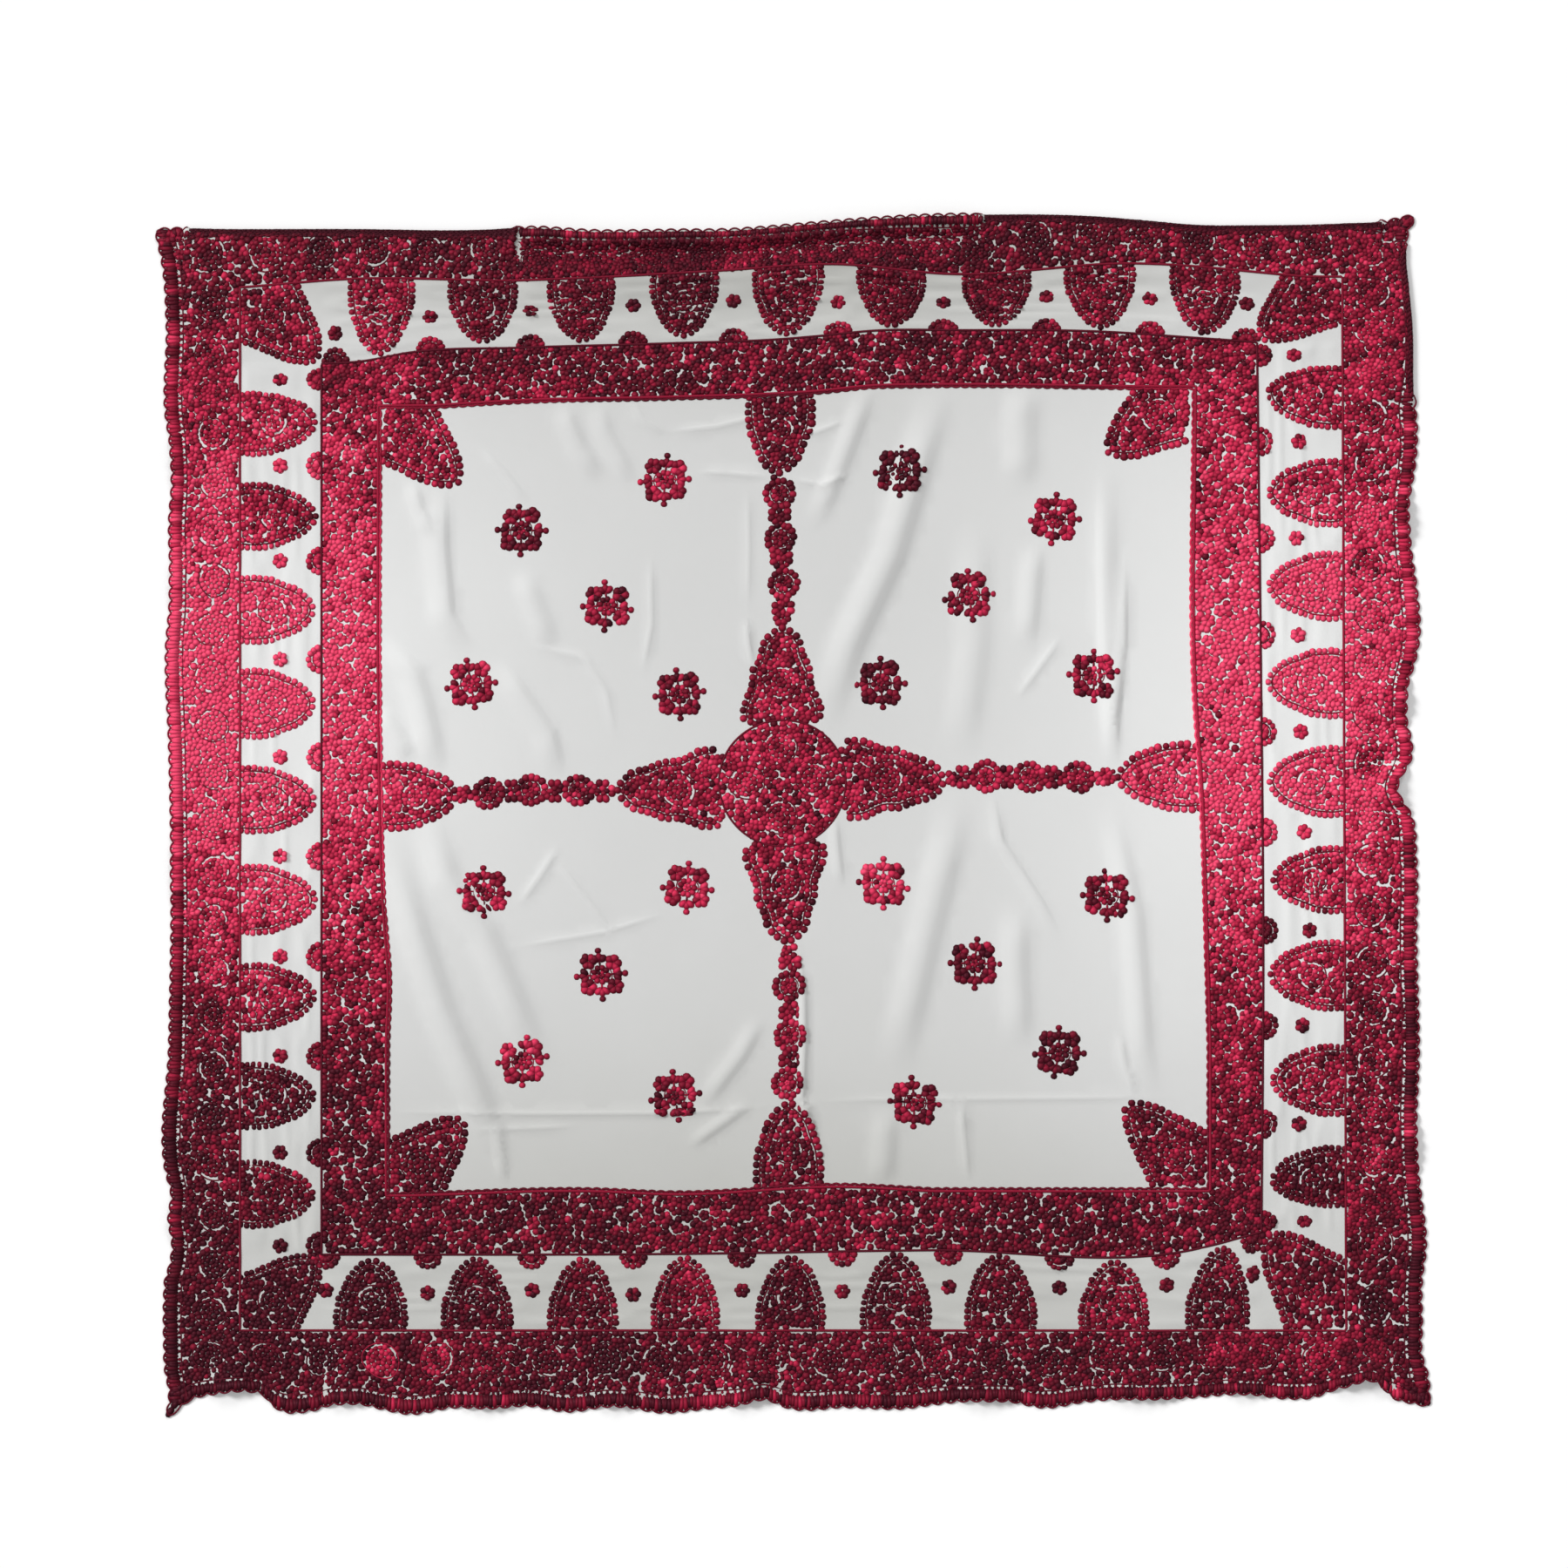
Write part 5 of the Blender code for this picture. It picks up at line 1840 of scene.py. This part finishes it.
def petal_points(rows, over_bends=False):
    """The points for one piece: where, which way, how large and how light."""
    u, v, heading, length, width, tone, drawn = np.array(rows, float).T
    c, s = np.cos(heading), np.sin(heading)
    u, v = u + PETAL_MIDDLE * length * c, v + PETAL_MIDDLE * length * s
    x, y = on_flat(u, v, drawn)
    along = np.stack(on_flat(u + STEP * c, v + STEP * s, drawn)) - (x, y)
    across = np.stack(on_flat(u - STEP * s, v + STEP * c, drawn)) - (x, y)
    stretch = np.hypot(*along) / STEP
    widen = np.abs(along[0] * across[1] - along[1] * across[0]) / (stretch * STEP**2)
    kept = over_bends | (~near_bend(x, y, *STITCHED_BEND) & (np.abs(surface(x, y)[1][:, 2]) > STEEPEST))
    heading = np.arctan2(along[1], along[0])
    tone = tone + dye_and_painted_light_at(x, y, heading)
    length, width = length * np.maximum(stretch, LEAST_STRETCH), width * np.maximum(widen, LEAST_STRETCH)
    return [values[kept] for values in (x, y, heading, length, width, tone)]


def work_petals(name, x, y, heading, length, width, tone):
    """Puts the petals of one piece on the cloth."""
    here, up = surface(x, y)
    ahead = cloth_point(x + STEP * np.cos(heading), y + STEP * np.sin(heading)) - here
    along = ahead - up * (ahead * up).sum(axis=1, keepdims=True)
    along /= np.linalg.norm(along, axis=1, keepdims=True)
    length, width = length * MM, width * MM
    tall = MM * np.random.default_rng(len(x)).uniform(*PETAL_HEIGHTS, len(x))
    seat = here + up * PETAL_SEAT * MM - along * (PETAL_MIDDLE * length)[:, None]
    beside_z = np.cross(up, along)[:, 2]
    heights = [px * length * along[:, 2] + py * width * beside_z + pz * tall * up[:, 2]
               for px, py, pz in (*((px, py, 0.0) for px, py in PETAL_DROP), PETAL_TOP, PETAL_FOOT)]
    seat[:, 2] += np.maximum(FLOOR_CLEAR * MM - seat[:, 2] - np.min(heights, axis=0), 0)
    mesh = with_attributes(name, seat, [],
                           {"along": along, "up": up, "size": np.stack([length, width, tall], axis=-1)},
                           {"tone": np.clip(tone, 0.0, 1.0)})
    return run_nodes(name, mesh, stitch_tree, {"Stitch": stitch, "Thread": silk}, ("along", "up", "size"))


pieces = []
for piece in petals:
    pieces.append(work_petals(piece, *petal_points(petals[piece], piece == "fold_stitches")))
    print(f"{piece}: {triangles(pieces[-1])} triangles")

# %% [markdown]
# ## Working the cords
#
# Stem stitch is a path with a round section. The paths are fitted to the cloth point by point, and
# the nodes turn them to curves, hold their flat side to the cloth, and sweep a five sided section
# along them. The bumped line of the second border is wider and flatter than the rest.

# %% The cords
SECTION = 5
CORD_SEAT = 0.45
# The cords were dyed darker than the floss, and take only a share of the change from place to place,
# which is dye and painted light and shade.
CORD_TONE = 0.52
CORD_FOLLOWS = 0.16


def stored(tree, geometry, name, value, kind, domain="POINT"):
    """Keeps a value on a geometry under a name."""
    values = (("Geometry", geometry), ("Name", name), ("Value", value))
    return add_node(tree, "GeometryNodeStoreNamedAttribute", values, data_type=kind, domain=domain).outputs[0]


def cord_nodes():
    """Sweeps a flattened round section along the paths."""
    tree, start, end = new_group(
        "cord along paths",
        (("Paths", "NodeSocketGeometry"), ("Flatness", "NodeSocketFloat"), ("Thread", "NodeSocketMaterial")),
        (("Cords", "NodeSocketGeometry"),), "GeometryNodeTree")
    curve = add_node(tree, "GeometryNodeMeshToCurve", (("Mesh", start.outputs["Paths"]),))
    facing = (("Curve", curve.outputs[0]), ("Normal", attribute_of(tree, "up", "FLOAT_VECTOR")))
    held = add_node(tree, "GeometryNodeSetCurveNormal", facing, mode="FREE")
    run = add_node(tree, "GeometryNodeSplineParameter")
    marked = stored(tree, held.outputs[0], "run", run.outputs["Length"], "FLOAT")
    circle = add_node(tree, "GeometryNodeCurvePrimitiveCircle", (("Resolution", SECTION), ("Radius", 0.5)))
    scale = add_node(tree, "ShaderNodeCombineXYZ", ((0, start.outputs["Flatness"]), (1, 1.0), (2, 1.0)))
    shape = (("Geometry", circle.outputs["Curve"]), ("Scale", scale.outputs[0]))
    section = add_node(tree, "GeometryNodeTransform", shape)
    round_it = add_node(tree, "GeometryNodeSplineParameter")
    section = stored(tree, section.outputs[0], "round", round_it.outputs["Factor"], "FLOAT")
    wide = attribute_of(tree, "wide", "FLOAT")
    sweep = (("Curve", marked), ("Profile Curve", section), ("Scale", wide), ("Fill Caps", True))
    swept = add_node(tree, "GeometryNodeCurveToMesh", sweep)
    lengthwise, around = attribute_of(tree, "run", "FLOAT"), attribute_of(tree, "round", "FLOAT")
    uv = add_node(tree, "ShaderNodeCombineXYZ", ((0, lengthwise), (1, around)))
    mapped = stored(tree, swept.outputs[0], "UVMap", uv.outputs[0], "FLOAT2", "CORNER")
    dyed = add_node(tree, "GeometryNodeSetMaterial",
                    (("Geometry", mapped), ("Material", start.outputs["Thread"])))
    tree.links.new(dyed.outputs[0], end.inputs[0])
    return tree


def work_cords(name, group, flatness, thread, base=CORD_TONE, follow=CORD_FOLLOWS):
    """Sweeps the cords of one piece over the cloth."""
    places, edges, wide, tones, count = [], [], [], [], 0
    for path, width, tone, drawn in group:
        x, y = fit(*path.T) if drawn else path.T
        is_ring = np.hypot(x[0] - x[-1], y[0] - y[-1]) < 0.01
        x, y = (x[:-1], y[:-1]) if is_ring else (x, y)
        free = ~near_bend(x, y, *STITCHED_BEND)
        after = [(k, (k + 1) % len(x)) for k in range(len(x) if is_ring else len(x) - 1)]
        edges += [(count + a, count + b) for a, b in after if free[a] and free[b]]
        places.append(np.stack([x, y], axis=-1))
        wide.append(np.full(len(x), width))
        tones.append(tone + base + follow * dye_and_painted_light_at(x, y))
        count += len(x)
    x, y = np.concatenate(places).T
    wide = np.concatenate(wide)
    here, up = surface(x, y)
    middle = here + up * CORD_SEAT * MM
    middle[:, 2] = np.maximum(middle[:, 2], 0.5 * wide * MM)
    mesh = with_attributes(name, middle, edges, {"up": up},
                           {"wide": wide * MM, "tone": np.clip(np.concatenate(tones), 0, 1)})
    return run_nodes(name, mesh, cord_tree, {"Flatness": flatness, "Thread": thread},
                     ("up", "wide", "run", "round"))


cord_tree = cord_nodes()
bumped_lines = [row for row in cords["stem_lines"] if row[1] == BUMP_WIDTH]
thin_lines = [row for row in cords["stem_lines"] if row[1] != BUMP_WIDTH]
pieces.append(work_cords("stem_lines", thin_lines, 0.72, stem_thread))
pieces.append(work_cords("bumped_line", bumped_lines, 0.45, stem_thread, 0.0, 1.0))
pieces.append(work_cords("hem_cords", cords["hem_cords"], 0.8, edging_thread))
for piece in pieces[-3:]:
    print(f"{piece.name}: {triangles(piece)} triangles")
print("all in all:", triangles(ground) + sum(triangles(piece) for piece in pieces), "triangles")

# %% [markdown]
# ## The pieces on their body
#
# Every piece lies still on the one body. The ground takes the place of the plain part, which is hidden.

for piece in [ground, *pieces]:
    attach(piece, "root")
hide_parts("embroidered_throw")
print("pieces:", ", ".join(piece.name for piece in [ground, *pieces]))

# %% [markdown]
# ## Floor, light and camera
#
# The throw is seen from straight above. One large soft light comes from the left, as from a window,
# a weaker one from the top, and the pale surroundings fill the rest, so folds show by a gentle
# change of grey.

# %% Stage
FRAME_WIDTH = 2 * PICTURE_MIDDLE * PIXEL * MM
FLOOR_SIDE = 24.0
LENS = 85.0
SENSOR = 36.0


def floor_material():
    """Plain pale floor."""
    material, _, shader = new_material("pale_floor", 0.9)
    shader.inputs["Base Color"].default_value = (0.95, 0.95, 0.95, 1.0)
    return material


def soft_light(name, place, spread, strength):
    """A far soft light that shines from a place towards the middle."""
    light = bpy.data.lights.new(name, "SUN")
    light.angle = math.radians(spread)
    light.energy = strength
    lamp = bpy.data.objects.new(name, light)
    bpy.context.scene.collection.objects.link(lamp)
    lamp.location = place
    lamp.rotation_euler = Vector(place).to_track_quat("Z", "Y").to_euler()


bpy.ops.mesh.primitive_plane_add(size=FLOOR_SIDE)
floor = bpy.context.object
floor.name = "floor"
floor.data.materials.append(floor_material())
floor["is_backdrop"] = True

world = bpy.data.worlds.new("pale surroundings")
world.use_nodes = True
world.node_tree.nodes["Background"].inputs["Color"].default_value = (1.0, 1.0, 1.0, 1.0)
world.node_tree.nodes["Background"].inputs["Strength"].default_value = 0.52
bpy.context.scene.world = world
soft_light("window light", (-3.3, 1.8, 2.2), 18.0, 2.7)
soft_light("second window", (0.9, 3.1, 1.8), 20.0, 0.75)

camera = bpy.data.objects.new("camera", bpy.data.cameras.new("camera"))
bpy.context.scene.collection.objects.link(camera)
camera.data.lens = LENS
camera.data.sensor_width = SENSOR
camera.location = (-MIDDLE[0] * MM, -MIDDLE[1] * MM, FRAME_WIDTH * LENS / SENSOR)
bpy.context.scene.camera = camera
bpy.context.scene.view_settings.view_transform = "Standard"
print("the camera looks down from", round(camera.location.z, 2), "m")

# %% [markdown]
# Last, the size of the dressed throw and its lowest point are printed.

# %% Size and finish
new_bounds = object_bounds()
sides = [round((high - low) / MM, 1) for low, high in zip(*new_bounds)]
print("dressed:", sides, "mm, lowest", round(new_bounds[0].z / MM, 2), "mm")
